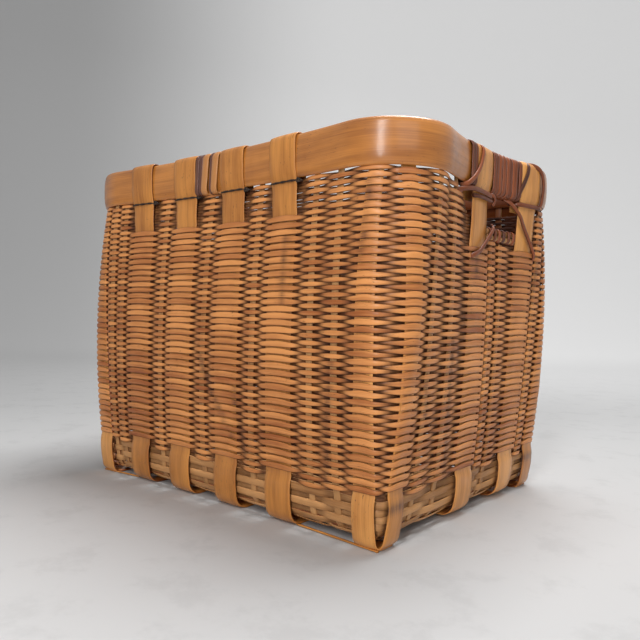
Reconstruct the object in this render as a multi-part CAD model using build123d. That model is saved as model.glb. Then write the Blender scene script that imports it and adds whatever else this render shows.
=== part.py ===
from build123d import *
import os
from math import atan2, cos, hypot, radians, sin, sqrt

# A rectangular split-bamboo basket with an open top and a hand hole in each short side.
# X runs along the long sides, -Y is the front, Z is up, and the origin is the middle of the
# underside. All sizes are in millimetres.

# Woven body: plan sizes outside the weave, at the base, at the belly and under the rim
BASE_LENGTH = 457.4
BASE_DEPTH = 338.0
BASE_CORNER = 8.0
BASE_BOW = 1.0
BELLY_LENGTH = 509.0
BELLY_DEPTH = 371.0
BELLY_HEIGHT = 222.0
TOP_LENGTH = 516.3
TOP_DEPTH = 358.2
TOP_CORNER = 62.0
TOP_BOW = 14.0

# Rim: a wide outer hoop and a narrower inner hoop that grip the stakes between them
RIM_TOP = 400.0
RIM_HEIGHT = 45.0
INNER_HOOP_HEIGHT = 31.0
INNER_HOOP_DROP = 2.0
INNER_HOOP_THICK = 4.0
HOOP_BACK = 1.5
HOOP_CROWN = 4.0
HOOP_FOOT = 0.6
HOOP_LIP = 2.0
HOOP_LOWER = 14.0
HOOP_UPPER = 8.0

# Weave
STRAND = 1.8
WEAVE_GAP = 3.5
FLUTE = 2.2
FLUTE_LEAST = 12.0
COARSE_TOP = 47.0
COARSE_STRAND = 1.0
COARSE_INSET = 2.2
COARSE_LAP = 8.0
FACETS = (6, 7, 5)
PLAIN_FACETS = (4, 4, 3)
FOOT_FACETS = (3, 2, 2)
PLAN_LEVELS = (0.0, COARSE_TOP, 130.0, 222.0, 300.0, RIM_TOP - RIM_HEIGHT)

# Slats: long strips that run over the rim, down through the weave and under the floor
SLAT_THICK = 2.0
SLAT_WIDTH = 38.5
SLAT_BEND = 30.0
SLAT_FOOT = 0.3
SLAT_ENTRY = -0.9
SLAT_TAIL = 58.0
CROSS_SLATS = (-138.0, -60.0, 21.0, 102.5)
CROSS_SLAT_DROP = 35.0
END_SLATS = (-15.5, 89.5)
END_SLAT_DROP = 59.0
END_SLAT_FACETS = 3

# Stakes
STAKE_WIDTH = 8.0
LONG_STAKES = (-194.0, -174.5, -96.5, -18.5, 62.5, 146.5, 179.0)
SHORT_STAKES = (-116.0, -73.0, 122.0)
HANDLE_STAKES = (16.0, 39.0)
STAKE_TOP = 4.0
CORNER_STAKE_FOOT_WIDTH = 26.0
CORNER_STAKE_TOP_WIDTH = 17.0
CORNER_STAKE_FOOT_INSET = 4.0
CORNER_STAKE_LONG_INSET = 29.5
CORNER_STAKE_SHORT_INSET = 16.0
CORNER_STAKE_BEND = 9.0
CORNER_STAKE_BELLY = 0.9
CORNER_STAKE_TUCK = 26.0
CORNER_STAKE_FACETS = 3

# Floor
FLOOR_THICK = 3.5
FLOOR_INSET = 29.6
FLOOR_PITCH = 21.0
RUNNER_WIDTH = 16.0
RUNNER_THICK = 2.0
RUNNER_INSET = 16.6
FLOOR_GROOVE = 0.8

# Hand holes, between the two end slats of each short side
HOLE_DROP = 53.0
HOLE_SIDE_DROP = 34.0
HOLE_SIDE = 32.0
HOLE_LINTEL_GAP = 10.0
HOLE_BEYOND = 8.0
BORDER_HEIGHT = 16.0
BORDER_THICK = 11.0
BORDER_TURNS = 5

# Bindings of cane and wire
BINDING_PITCH = 7.8
BINDING_THICK = 2.8
CANE = 5.6
CANE_FLAT = 2.6
JOINT_TURNS = 5
SIDE_TURNS = 2
HANDLE_WRAP_GAP = 2.6
SLAT_TIE_GAP = 3.1
LASHING_TOP = 0.0
LASHING_FOOT = 0.35
WIRE = 1.3

CLEARANCE = 0.2
STAKE_GAP = 0.8
TAIL_GAP = 0.6
TIE_GAP = 1.3
MITRE_GAP = 0.8

FLOOR_LAYER = SLAT_THICK + CLEARANCE
FLOOR_Z = 2 * FLOOR_LAYER
RUNNER_Z = FLOOR_Z + FLOOR_THICK + CLEARANCE
RIM_FOOT = RIM_TOP - RIM_HEIGHT
WEAVE_TOP = RIM_FOOT - WEAVE_GAP
CROSS_SLAT_EXIT = RIM_FOOT - CROSS_SLAT_DROP
END_SLAT_EXIT = RIM_FOOT - END_SLAT_DROP
HOLE_SILL = RIM_FOOT - HOLE_DROP
HOLE_SIDE_SILL = RIM_FOOT - HOLE_SIDE_DROP
WALL_MIDDLE = -STRAND - STAKE_GAP - SLAT_THICK / 2
COARSE_MIDDLE = -COARSE_INSET - COARSE_STRAND - STAKE_GAP - SLAT_THICK / 2
INNER_HOOP_FACE = WALL_MIDDLE - SLAT_THICK / 2 - STAKE_GAP
INNER_FACE = INNER_HOOP_FACE - INNER_HOOP_THICK
TAIL_FACE = INNER_FACE - TAIL_GAP
JOINT_START = CROSS_SLATS[1] + SLAT_WIDTH / 2 + TIE_GAP + WIRE + CLEARANCE
JOINT_END = CROSS_SLATS[2] - SLAT_WIDTH / 2 - TIE_GAP - WIRE - CLEARANCE
SLAT_TOP = RIM_TOP + CLEARANCE + SLAT_THICK
REACH = 400.0


def parabola(z, base, belly, top):
    """Value at height z of the curve through a base, a belly and a value under the rim."""
    t = z / RIM_FOOT
    m = BELLY_HEIGHT / RIM_FOOT
    at_base = base * (t - m) * (t - 1) / m
    at_belly = belly * t * (1 - t) / (m * (1 - m))
    at_top = top * t * (t - m) / (1 - m)
    return at_base + at_belly + at_top


def plan_at_level(z):
    """Half length, half depth, corner radius and bow of the body's plan at one level."""
    half_length = parabola(z, BASE_LENGTH, BELLY_LENGTH, TOP_LENGTH) / 2
    half_depth = parabola(z, BASE_DEPTH, BELLY_DEPTH, TOP_DEPTH) / 2
    t = z / RIM_FOOT
    corner = BASE_CORNER + (TOP_CORNER - BASE_CORNER) * t
    bow = BASE_BOW + (TOP_BOW - BASE_BOW) * t
    return half_length, half_depth, corner, bow


def plan(z, offset):
    """Plan sizes at any height, straight between the levels, grown outwards by an offset."""
    z = min(max(z, 0.0), RIM_FOOT)
    for low, high in zip(PLAN_LEVELS, PLAN_LEVELS[1:]):
        if z <= high:
            break
    t = (z - low) / (high - low)
    sizes = [p + (q - p) * t for p, q in zip(plan_at_level(low), plan_at_level(high))]
    half_length, half_depth, corner, bow = sizes
    return half_length + offset, half_depth + offset, max(corner + offset, 1.5), bow


def side_radius(run, corner, bow):
    """Radius of the inward-bowed side that is tangent to two corner arcs."""
    return (run**2 + (corner - bow) ** 2 - corner**2) / (2 * bow)


def edge_point(side, along, z, offset):
    """Point of the plan on one side at height z, at a place measured along that side."""
    a, b, corner, bow = plan(z, offset)
    if side in ("right", "left"):
        a, b = b, a
    run, reach = a - corner, b - corner
    radius = side_radius(run, corner, bow)
    tangent = run * radius / (radius + corner)
    if abs(along) <= tangent:
        out = b - bow + radius - sqrt(radius**2 - along**2)
    else:
        out = reach + sqrt(max(corner**2 - (abs(along) - run) ** 2, 0.0))
    return {
        "front": (along, -out, z),
        "back": (along, out, z),
        "right": (out, along, z),
        "left": (-out, along, z),
    }[side]


def ring_points(z, offset, facets):
    """Points round the plan at height z: even steps on each half side and on each corner arc."""
    long_facets, corner_facets, short_facets = facets
    a, b, corner, bow = plan(z, offset)
    cx, cy = a - corner, b - corner
    long_radius = side_radius(cx, corner, bow)
    short_radius = side_radius(cy, corner, bow)
    first = atan2(b - bow + long_radius - cy, -cx)
    last = atan2(-cy, a - bow + short_radius - cx)
    quarter = []
    for i in range(long_facets):
        quarter.append(edge_point("back", (cx + corner * cos(first)) * i / long_facets, z, offset))
    for i in range(corner_facets + 1):
        angle = first + (last - first) * i / corner_facets
        quarter.append((cx + corner * cos(angle), cy + corner * sin(angle), z))
    for i in range(1, short_facets + 1):
        along = (cy + corner * sin(last)) * (1 - i / short_facets)
        quarter.append(edge_point("right", along, z, offset))
    ring = []
    for sx, sy, order in ((1, 1, 1), (1, -1, -1), (-1, -1, 1), (-1, 1, -1)):
        ring += [(sx * x, sy * y, z) for x, y, z in quarter[::order]][:-1]
    return ring


def flat_face(*points):
    """Flat face between points."""
    return Face(Wire.make_polygon([Vector(*p) for p in points], close=True))


def reach_of(p, q):
    """Twice the distance from the vertical middle axis to the point halfway between two points."""
    return hypot(p[0] + q[0], p[1] + q[1])


def quad(p, q, r, s):
    """Two flat triangles between four points, creased outwards where the four are twisted."""
    if reach_of(p, r) < reach_of(q, s):
        p, q, r, s = q, r, s, p
    return [flat_face(p, q, r), flat_face(p, r, s)]


def quads(ring, following):
    """Flat triangles between two closed rings of as many points."""
    faces = []
    for i in range(len(ring)):
        j = (i + 1) % len(ring)
        faces += quad(ring[i], ring[j], following[j], following[i])
    return faces


def closed(faces):
    """Solid inside a closed set of faces."""
    solid = Solid(Shell(faces))
    return solid if solid.volume > 0 else Solid(Shell([-f for f in solid.faces()]))


def band(section, points=ring_points, facets=FACETS):
    """Solid all round the basket, from its section's (height, offset) corners."""
    rings = [points(z, offset, facets) for z, offset in section]
    faces = []
    for ring, following in zip(rings, rings[1:] + rings[:1]):
        faces += quads(ring, following)
    return closed(faces)


def skin(levels, thick, points=ring_points, facets=FACETS):
    """Band of one thickness, whose outer face follows (height, offset) levels."""
    return band(levels + [(z, offset - thick) for z, offset in levels[::-1]], points, facets)


def even_steps(side, start, end, z, facets):
    """Places along a side that divide a strip evenly."""
    return [start + (end - start) * i / facets for i in range(facets + 1)]


def corner_steps(side, start, end, z, facets):
    """Places that divide a strip beside a corner more finely from where the corner turns."""
    a, b, corner, bow = plan(z, 0.0)
    run = (a if side in ("front", "back") else b) - corner
    sign = 1 if start + end > 0 else -1
    far, near = sorted((sign * start, sign * end))
    turn = min(max(run, far + (near - far) / facets), far + 0.6 * (near - far))
    steps = [far] + [turn + (near - turn) * i / (facets - 1) for i in range(facets)]
    return steps if sign > 0 else [-step for step in steps[::-1]]


def strip(stations, facets=1, divide=even_steps):
    """Strip through stations: each names a side, its two edges, and two faces' levels."""
    rings = []
    for side, start, end, outer, inner in stations:
        steps = divide(side, start, end, outer[0], facets)
        ring = [edge_point(side, along, *outer) for along in steps]
        rings.append(ring + [edge_point(side, along, *inner) for along in steps[::-1]])
    faces = []
    for ring in (rings[0], rings[-1]):
        for i in range(facets):
            faces += quad(ring[i], ring[i + 1], ring[-2 - i], ring[-1 - i])
    for ring, following in zip(rings, rings[1:]):
        faces += quads(ring, following)
    return closed(faces)


def box(x0, x1, y0, y1, z0, z1):
    """Box between two corners."""
    return Pos((x0 + x1) / 2, (y0 + y1) / 2, (z0 + z1) / 2) * Box(x1 - x0, y1 - y0, z1 - z0)


def hoop_face():
    """Heights and offsets of the crowned outer face of the outer hoop."""
    return [
        (RIM_FOOT, HOOP_FOOT),
        (RIM_FOOT + HOOP_LOWER, HOOP_CROWN),
        (RIM_TOP - HOOP_UPPER, HOOP_CROWN),
        (RIM_TOP, HOOP_LIP),
    ]


def outer_rim_hoop():
    """Wide band of split bamboo, crowned outside and flat inside."""
    return band(hoop_face() + [(RIM_TOP, -HOOP_BACK), (RIM_FOOT, -HOOP_BACK)])


def inner_rim_hoop():
    """Narrower band inside the stakes."""
    top = RIM_TOP - INNER_HOOP_DROP
    return skin([(top - INNER_HOOP_HEIGHT, INNER_HOOP_FACE), (top, INNER_HOOP_FACE)], INNER_HOOP_THICK)


def in_wall(z0, z1, out):
    """Heights and offsets of a strip that lies in the middle of the weave."""
    heights = [z0] + [z for z in PLAN_LEVELS if z0 < z < z1] + [z1]
    return [(z, WALL_MIDDLE + out) for z in heights]


def bend_face(bend, out, layer, angles):
    """Heights and offsets of one face of a strip where it bends up from the floor."""
    z, radius = layer + SLAT_THICK / 2 + bend, bend + out
    turns = [radians(angle) for angle in angles]
    return [(z - radius * cos(a), SLAT_FOOT - bend + radius * sin(a)) for a in turns]


def coarse_face(offset):
    """Heights and offsets of a layer of the foot, which bends in under the wall inside the slats."""
    levels = bend_face(SLAT_BEND, offset - SLAT_FOOT, FLOOR_LAYER, (30, 60, 90))
    return levels + [(COARSE_TOP - CLEARANCE, offset)]


def slat_face(exit_z, out, layer):
    """Heights and offsets of one face of a slat, from the floor to the top of the outer hoop."""
    levels = bend_face(SLAT_BEND, out, layer, (0, 30, 60, 90)) + [(COARSE_TOP, SLAT_ENTRY + out)]
    levels += in_wall(COARSE_TOP + COARSE_LAP, exit_z, out)
    levels.append((exit_z + (RIM_FOOT - exit_z) * 0.4, WALL_MIDDLE * 0.45 + out))
    on_hoop = CLEARANCE + SLAT_THICK / 2 + out
    return levels + [(z, offset + on_hoop) for z, offset in hoop_face()]


def slat_half(exit_z, layer):
    """Outer and inner face levels of half a slat, from its tail inside the rim to the floor."""
    back = TAIL_FACE - SLAT_THICK
    faces = [((z, back), (z, TAIL_FACE)) for z in (RIM_TOP - SLAT_TAIL, RIM_FOOT, RIM_TOP - 1.0)]
    for offset in (INNER_FACE + 0.6, HOOP_LIP - 0.6):
        faces.append(((SLAT_TOP, offset), (RIM_TOP + CLEARANCE, offset)))
    half = SLAT_THICK / 2
    down = zip(slat_face(exit_z, half, layer), slat_face(exit_z, -half, layer))
    return faces + list(down)[::-1]


def slat(side, across, middle, exit_z, layer, facets):
    """One slat: over the rim, down one side, under the floor and up the other side."""
    start, end = middle - SLAT_WIDTH / 2, middle + SLAT_WIDTH / 2
    half = slat_half(exit_z, layer)
    stations = [(side, start, end, outer, inner) for outer, inner in half]
    stations += [(across, start, end, outer, inner) for outer, inner in half[::-1]]
    return strip(stations, facets)


def stake(side, middle, top):
    """Narrow stake from the floor up through the weave."""
    faces = []
    for out in (SLAT_THICK / 2, -SLAT_THICK / 2):
        levels = coarse_face(COARSE_MIDDLE + out)
        levels += in_wall(COARSE_TOP + COARSE_LAP, min(top, WEAVE_TOP), out)
        faces.append(levels + ([(top, WALL_MIDDLE + out)] if top > WEAVE_TOP else []))
    start, end = middle - STAKE_WIDTH / 2, middle + STAKE_WIDTH / 2
    return strip([(side, start, end, outer, inner) for outer, inner in zip(*faces)])


def stakes(side):
    """The narrow stakes of one side: held by the hoops, or ending under a binding or a hand hole."""
    top = RIM_TOP - STAKE_TOP
    if side in ("right", "left"):
        places = [(y, top) for y in SHORT_STAKES] + [(y, HOLE_SILL) for y in HANDLE_STAKES]
    else:
        places = [(x, WEAVE_TOP if JOINT_START < x < JOINT_END else top) for x in LONG_STAKES]
    return [stake(side, place, high) for place, high in places]


def corner_stake_edges(side, z):
    """Distances of a corner stake's near and far edge from the middle of its side at height z."""
    reach, top = BASE_LENGTH / 2, TOP_LENGTH / 2 - CORNER_STAKE_LONG_INSET
    if side in ("right", "left"):
        reach, top = BASE_DEPTH / 2, TOP_DEPTH / 2 - CORNER_STAKE_SHORT_INSET
    edge = reach - CORNER_STAKE_FOOT_INSET
    t = z / RIM_TOP
    near = edge + (top - edge) * t
    return near, near - CORNER_STAKE_FOOT_WIDTH - (CORNER_STAKE_TOP_WIDTH - CORNER_STAKE_FOOT_WIDTH) * t


def corner_stake(side, sign):
    """Tapering strip beside one corner, tucked under the floor and held by the hoops."""
    reach = (BASE_DEPTH if side in ("right", "left") else BASE_LENGTH) / 2
    faces = []
    for out in (SLAT_THICK / 2, -SLAT_THICK / 2):
        levels = [(SLAT_THICK / 2 - out, -CORNER_STAKE_TUCK)]
        levels += bend_face(CORNER_STAKE_BEND, out, 0.0, (0, 45, 90))
        levels += [(COARSE_TOP * 0.6, CORNER_STAKE_BELLY + out), (COARSE_TOP, SLAT_ENTRY + out)]
        levels += in_wall(COARSE_TOP + COARSE_LAP, WEAVE_TOP, out)
        faces.append(levels + [(RIM_TOP - STAKE_TOP, WALL_MIDDLE + out)])
    stations = []
    for outer, inner in zip(*faces):
        near, far = corner_stake_edges(side, outer[0])
        if outer[0] < COARSE_TOP:
            near = min(near, reach + min(outer[1], inner[1]) - MITRE_GAP)
        start, end = (far, near) if sign > 0 else (-near, -far)
        stations.append((side, start, end, outer, inner))
    return strip(stations, CORNER_STAKE_FACETS, corner_steps)


def corner_stakes():
    """The eight corner stakes by name."""
    nodes = {}
    for sx, lr in ((1, "right"), (-1, "left")):
        for sy, fb in ((-1, "front"), (1, "back")):
            nodes["corner_stake_%s_%s" % (fb, lr)] = corner_stake(fb, sx)
            nodes["corner_stake_%s_%s" % (lr, fb)] = corner_stake(lr, sy)
    return nodes


def hole_cut():
    """Hand hole in both short sides, with the gap above it where the rim is lashed on."""
    left = END_SLATS[0] - SLAT_WIDTH / 2 - HOLE_SIDE
    right = END_SLATS[0] + SLAT_WIDTH / 2 + CLEARANCE
    far = END_SLATS[1] - SLAT_WIDTH / 2 - CLEARANCE
    beyond = END_SLATS[1] + SLAT_WIDTH / 2 + HOLE_BEYOND
    lintel = WEAVE_TOP - HOLE_LINTEL_GAP
    points = [
        (left - 8, RIM_FOOT),
        (left, HOLE_SIDE_SILL + 8),
        (left + 4, HOLE_SIDE_SILL),
        (right, HOLE_SIDE_SILL),
        (right, HOLE_SILL),
        (far, HOLE_SILL),
        (far, lintel),
        (beyond, lintel),
        (beyond, RIM_FOOT),
    ]
    face = flat_face(*[(-REACH, y, z) for y, z in points])
    return Solid.extrude(face, Vector(2 * REACH, 0, 0))


def exit_cuts():
    """Room in the outer passes of the weave where each slat comes out of it."""
    half = SLAT_WIDTH / 2 + CLEARANCE
    cuts = [box(x - half, x + half, -REACH, REACH, CROSS_SLAT_EXIT, RIM_FOOT) for x in CROSS_SLATS]
    return cuts + [box(-REACH, REACH, y - half, y + half, END_SLAT_EXIT, RIM_FOOT) for y in END_SLATS]


def upright_edges(side, z):
    """Both edges of every upright of one side at height z, in order along the side."""
    slats, narrow = CROSS_SLATS, LONG_STAKES
    if side in ("right", "left"):
        slats, narrow = END_SLATS, SHORT_STAKES + HANDLE_STAKES
    near, far = corner_stake_edges(side, z)
    edges = [(-near, -far), (far, near)]
    edges += [(x - SLAT_WIDTH / 2, x + SLAT_WIDTH / 2) for x in slats]
    return sorted(edges + [(x - STAKE_WIDTH / 2, x + STAKE_WIDTH / 2) for x in narrow])


def fluted_side(side, z, offset):
    """Points along one side: out over every upright, and in between those that stand apart."""
    edges, usual = upright_edges(side, z), upright_edges(side, BELLY_HEIGHT)
    points = []
    for i, (start, end) in enumerate(edges):
        places = (start, end)
        if i in (0, len(edges) - 1):
            places = corner_steps(side, start, end, z, CORNER_STAKE_FACETS)
        points += [(place, offset) for place in places]
        if i + 1 < len(edges) and usual[i + 1][0] - usual[i][1] > FLUTE_LEAST:
            points.append(((end + edges[i + 1][0]) / 2, offset - FLUTE))
    return [edge_point(side, along, z, out) for along, out in points]


def fluted_ring(z, offset, facets):
    """Points round the plan at height z, with a flute between each two uprights."""
    a, b, corner = plan(z, offset)[:3]
    sides = [fluted_side(side, z, offset) for side in ("front", "right", "back", "left")]
    ring = []
    for i, (sx, sy) in enumerate(((1, -1), (1, 1), (-1, 1), (-1, -1))):
        here, following = sides[i], sides[(i + 1) % 4]
        if i > 1:
            here = here[::-1]
        if i in (1, 2):
            following = following[::-1]
        cx, cy = sx * (a - corner), sy * (b - corner)
        out = Vector(here[-1][0] + following[0][0] - 2 * cx, here[-1][1] + following[0][1] - 2 * cy, 0)
        middle = Vector(cx, cy, z) + out.normalized() * corner
        ring += here + [tuple(middle)]
    return ring


def upper_weave():
    """Fine weave: the outer and the inner passes of its rows, with the stakes between them."""
    start = COARSE_TOP + COARSE_LAP
    heights = [start] + [z for z in PLAN_LEVELS if start < z < WEAVE_TOP] + [WEAVE_TOP]
    outer = skin([(z, 0.0) for z in heights], STRAND, fluted_ring)
    face = WALL_MIDDLE - SLAT_THICK / 2 - STAKE_GAP
    foot = (COARSE_TOP, face + COARSE_MIDDLE - WALL_MIDDLE)
    inner = skin([foot] + [(z, face) for z in heights], STRAND, facets=PLAIN_FACETS)
    return [outer - exit_cuts() - hole_cut(), inner - hole_cut()]


def lower_weave():
    """Wide flat rows behind the slats and corner stakes, outside and inside the stakes."""
    layers = []
    for face in (-COARSE_INSET, COARSE_MIDDLE - SLAT_THICK / 2 - STAKE_GAP):
        section = coarse_face(face) + coarse_face(face - COARSE_STRAND)[::-1]
        layers.append(band(section, facets=FOOT_FACETS))
    return layers


def floor_plate(inset, z, thick):
    """Flat plate over the slats, with its edge that far inside the plan of the base."""
    size = BASE_LENGTH - 2 * inset, BASE_DEPTH - 2 * inset
    return Pos(0, 0, z) * extrude(Rectangle(*size), thick)


def runners():
    """Four strips inside the bottom edges, the long ones running into the corners."""
    ring = floor_plate(RUNNER_INSET, RUNNER_Z, RUNNER_THICK)
    ring -= floor_plate(RUNNER_INSET + RUNNER_WIDTH, RUNNER_Z, RUNNER_THICK)
    cut = BASE_DEPTH / 2 - RUNNER_INSET - RUNNER_WIDTH
    high = RUNNER_Z + RUNNER_THICK + 1
    nodes = {
        "runner_front": ring & box(-REACH, REACH, -REACH, -cut, 0, high),
        "runner_back": ring & box(-REACH, REACH, cut, REACH, 0, high),
    }
    cut -= CLEARANCE
    nodes["runner_right"] = ring & box(0, REACH, -cut, cut, 0, high)
    nodes["runner_left"] = ring & box(-REACH, 0, -cut, cut, 0, high)
    return nodes


def floor_weave():
    """Woven floor under the runners, with the lines of its strips cut in its upper face."""
    top = FLOOR_Z + FLOOR_THICK
    reach = BASE_LENGTH / 2
    count = int((reach - FLOOR_INSET) / FLOOR_PITCH)
    grooves = []
    for i in range(-count, count + 1):
        x = i * FLOOR_PITCH
        left, right = (x - FLOOR_GROOVE, -reach, top), (x + FLOOR_GROOVE, -reach, top)
        section = flat_face(left, (x, -reach, top - FLOOR_GROOVE), right)
        grooves.append(Solid.extrude(section, Vector(0, 2 * reach, 0)))
    return floor_plate(FLOOR_INSET, FLOOR_Z, FLOOR_THICK) - grooves


def side_plane(along, side, z, offset=0.0):
    """Plane square to the wall on one side at height z: x points outwards and y points up."""
    near = Vector(*edge_point(side, along - 1.0, z, offset))
    far = Vector(*edge_point(side, along + 1.0, z, offset))
    run = (far - near).normalized()
    outward = run.cross(Vector(0, 0, 1))
    if side in ("back", "left"):
        outward = -outward
    origin = Vector(*edge_point(side, along, z, offset))
    return Plane(origin=origin, x_dir=outward, z_dir=outward.cross(Vector(0, 0, 1)))


def ring_section(x0, x1, y0, y1, thick, cut):
    """Flat ring around a rectangle, with its outer corners cut off."""
    outer = Rectangle(x1 - x0 + 2 * thick, y1 - y0 + 2 * thick)
    outer = chamfer(outer.vertices(), cut)
    return Pos((x0 + x1) / 2, (y0 + y1) / 2) * (outer - Rectangle(x1 - x0, y1 - y0))


def rim_binding(side, start, end, turns):
    """Turns of flat cane side by side around both hoops, from one place on a side to another."""
    pitch = (end - start) / turns
    back, front = INNER_FACE - CLEARANCE, HOOP_CROWN + CLEARANCE
    section = ring_section(back, front, -CLEARANCE, RIM_HEIGHT + CLEARANCE, BINDING_THICK, BINDING_THICK)
    one = extrude(section, (pitch - CLEARANCE) / 2, both=True)
    places = [start + pitch * (i + 0.5) for i in range(turns)]
    return [side_plane(place, side, RIM_FOOT).location * one for place in places]


def handle_wrap(side):
    """The wound handle between the end slats, and two more turns beyond the first slat."""
    first = END_SLATS[0] - SLAT_WIDTH / 2 - TIE_GAP
    inner = END_SLATS[0] + SLAT_WIDTH / 2 + TIE_GAP
    last = END_SLATS[1] - SLAT_WIDTH / 2 - HANDLE_WRAP_GAP
    turns = round((last - inner) / BINDING_PITCH)
    beyond = rim_binding(side, first - SIDE_TURNS * BINDING_PITCH, first, SIDE_TURNS)
    return beyond + rim_binding(side, inner, last, turns)


def border_plane(side):
    """Plane through the middle of the border roll, halfway between the end slats."""
    middle = (END_SLATS[0] + END_SLATS[1]) / 2
    return side_plane(middle, side, HOLE_SILL + CLEARANCE + BORDER_HEIGHT / 2, WALL_MIDDLE)


def border_length():
    """Length of the border roll that fits between the end slats."""
    return END_SLATS[1] - END_SLATS[0] - SLAT_WIDTH - 2 * SLAT_THICK


def handle_border(side):
    """Roll of bent-over stakes on the lower edge of a hand hole."""
    core = Rectangle(BORDER_THICK - BINDING_THICK, BORDER_HEIGHT - 2 * BINDING_THICK)
    core = chamfer(core.vertices(), BINDING_THICK)
    return border_plane(side).location * extrude(core, border_length() / 2, both=True)


def border_wrap(side):
    """Spaced turns of cane around the border roll."""
    x = (BORDER_THICK - BINDING_THICK) / 2
    y = BORDER_HEIGHT / 2 - BINDING_THICK
    one = extrude(ring_section(-x, x, -y, y, BINDING_THICK, BINDING_THICK), CANE / 2, both=True)
    pitch = border_length() / BORDER_TURNS
    places = [pitch * (i + 0.5) - border_length() / 2 for i in range(BORDER_TURNS)]
    return [border_plane(side).location * Pos(0, 0, s) * one for s in places]


def tie(side, along, z, width, thick, gap):
    """Flat ring round a slat and its tail, level at height z."""
    plane = side_plane(along, side, RIM_FOOT)
    flat = Plane(origin=(plane.origin.X, plane.origin.Y, z), x_dir=plane.x_dir, z_dir=(0, 0, 1))
    half = SLAT_WIDTH / 2 + gap
    back = TAIL_FACE - SLAT_THICK - gap
    front = HOOP_FOOT + CLEARANCE + SLAT_THICK + gap
    section = ring_section(back, front, -half, half, thick, thick / 2)
    return flat.location * extrude(section, width / 2, both=True)


def slat_ties(side):
    """Cane tied round each end slat just under the rim and its bindings."""
    z = RIM_FOOT - BINDING_THICK - 2 * CLEARANCE - CANE / 2
    return [tie(side, y, z, CANE, CANE_FLAT, SLAT_TIE_GAP) for y in END_SLATS]


def wire_ties(side):
    """Wire round each cross slat in the gap under the rim."""
    z = WEAVE_TOP + WEAVE_GAP / 2
    return [tie(side, x, z, WIRE, WIRE, TIE_GAP) for x in CROSS_SLATS]


def lashings(side):
    """Cane that runs slantwise over the rim beside each end slat, from its top to the tie."""
    solids = []
    for y in END_SLATS:
        top = y - SLAT_WIDTH * LASHING_TOP
        foot = y - SLAT_WIDTH * LASHING_FOOT
        stations = []
        for z, offset in hoop_face():
            middle = foot + (top - foot) * (z - RIM_FOOT) / RIM_HEIGHT
            under = offset + 2 * CLEARANCE + SLAT_THICK
            span = middle - CANE / 2, middle + CANE / 2
            stations.append((side, *span, (z, under + CANE_FLAT), (z, under)))
        solids.append(strip(stations))
    return solids


def save(name, shape):
    """Write one node's STEP file."""
    parts = shape if isinstance(shape, list) else [shape]
    solids = [s for p in parts for s in p.solids()]
    whole = solids[0] if len(solids) == 1 else Compound(children=solids)
    export_step(whole, "parts/%s.step" % name)


def main():
    os.makedirs("parts", exist_ok=True)
    save("outer_rim_hoop", outer_rim_hoop())
    save("inner_rim_hoop", inner_rim_hoop())

    for i, x in enumerate(CROSS_SLATS):
        save("cross_slat_%d" % (i + 1), slat("front", "back", x, CROSS_SLAT_EXIT, 0.0, 1))
    for i, y in enumerate(END_SLATS):
        solid = slat("left", "right", y, END_SLAT_EXIT, FLOOR_LAYER, END_SLAT_FACETS)
        save("end_slat_%d" % (i + 1), solid)
    for name, shape in corner_stakes().items():
        save(name, shape)
    for side in ("front", "back", "right", "left"):
        save("stakes_" + side, stakes(side))

    save("upper_weave", upper_weave())
    save("lower_weave", lower_weave())
    save("floor_weave", floor_weave())
    for name, shape in runners().items():
        save(name, shape)

    for side in ("front", "back"):
        save("rim_joint_wrap_" + side, rim_binding(side, JOINT_START, JOINT_END, JOINT_TURNS))
        save("wire_ties_" + side, wire_ties(side))
    for side in ("right", "left"):
        save("handle_wrap_" + side, handle_wrap(side))
        save("handle_border_" + side, handle_border(side))
        save("border_wrap_" + side, border_wrap(side))
        save("slat_ties_" + side, slat_ties(side))
        save("lashings_" + side, lashings(side))


main()
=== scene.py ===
# %% [markdown]
# # A basket of split bamboo
#
# This lesson dresses a deep rectangular basket. Its maker stood wide strips and narrow stakes on
# end, wove thin strands round them row by row, clamped two hoops of split culm round the mouth,
# and bound everything down with cane and iron wire. Each piece here is a flat or round strip that
# follows a path, so one helper that carries a section along a path makes nearly all of them.

# %% Load the frame that every piece is fitted to
import math
import random

import bmesh
import bpy
import numpy as np
from mathutils import Matrix, Vector


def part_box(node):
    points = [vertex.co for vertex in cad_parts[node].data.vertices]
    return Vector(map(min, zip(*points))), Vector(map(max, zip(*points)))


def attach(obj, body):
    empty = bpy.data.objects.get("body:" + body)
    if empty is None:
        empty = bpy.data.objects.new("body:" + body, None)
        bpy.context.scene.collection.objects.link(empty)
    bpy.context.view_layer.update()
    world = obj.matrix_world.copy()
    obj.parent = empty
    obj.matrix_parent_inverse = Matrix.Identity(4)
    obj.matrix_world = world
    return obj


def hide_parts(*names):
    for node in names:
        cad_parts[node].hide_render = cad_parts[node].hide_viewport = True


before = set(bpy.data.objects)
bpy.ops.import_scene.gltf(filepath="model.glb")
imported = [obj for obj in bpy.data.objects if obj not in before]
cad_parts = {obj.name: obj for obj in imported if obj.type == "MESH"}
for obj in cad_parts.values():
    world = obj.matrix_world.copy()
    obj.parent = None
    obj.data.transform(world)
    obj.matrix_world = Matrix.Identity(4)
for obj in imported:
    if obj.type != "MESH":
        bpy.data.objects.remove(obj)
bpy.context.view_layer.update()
mm = 0.001


def unit(rows):
    """Rows of an array, each made 1 long."""
    return rows / np.linalg.norm(rows, axis=1)[:, None]


def distances(points):
    """Distance of each point from the first, along the line through all of them."""
    return np.concatenate([[0], np.cumsum(np.linalg.norm(np.diff(points, axis=0), axis=1))])


print("frame loaded:", len(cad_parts), "nodes")

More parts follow.
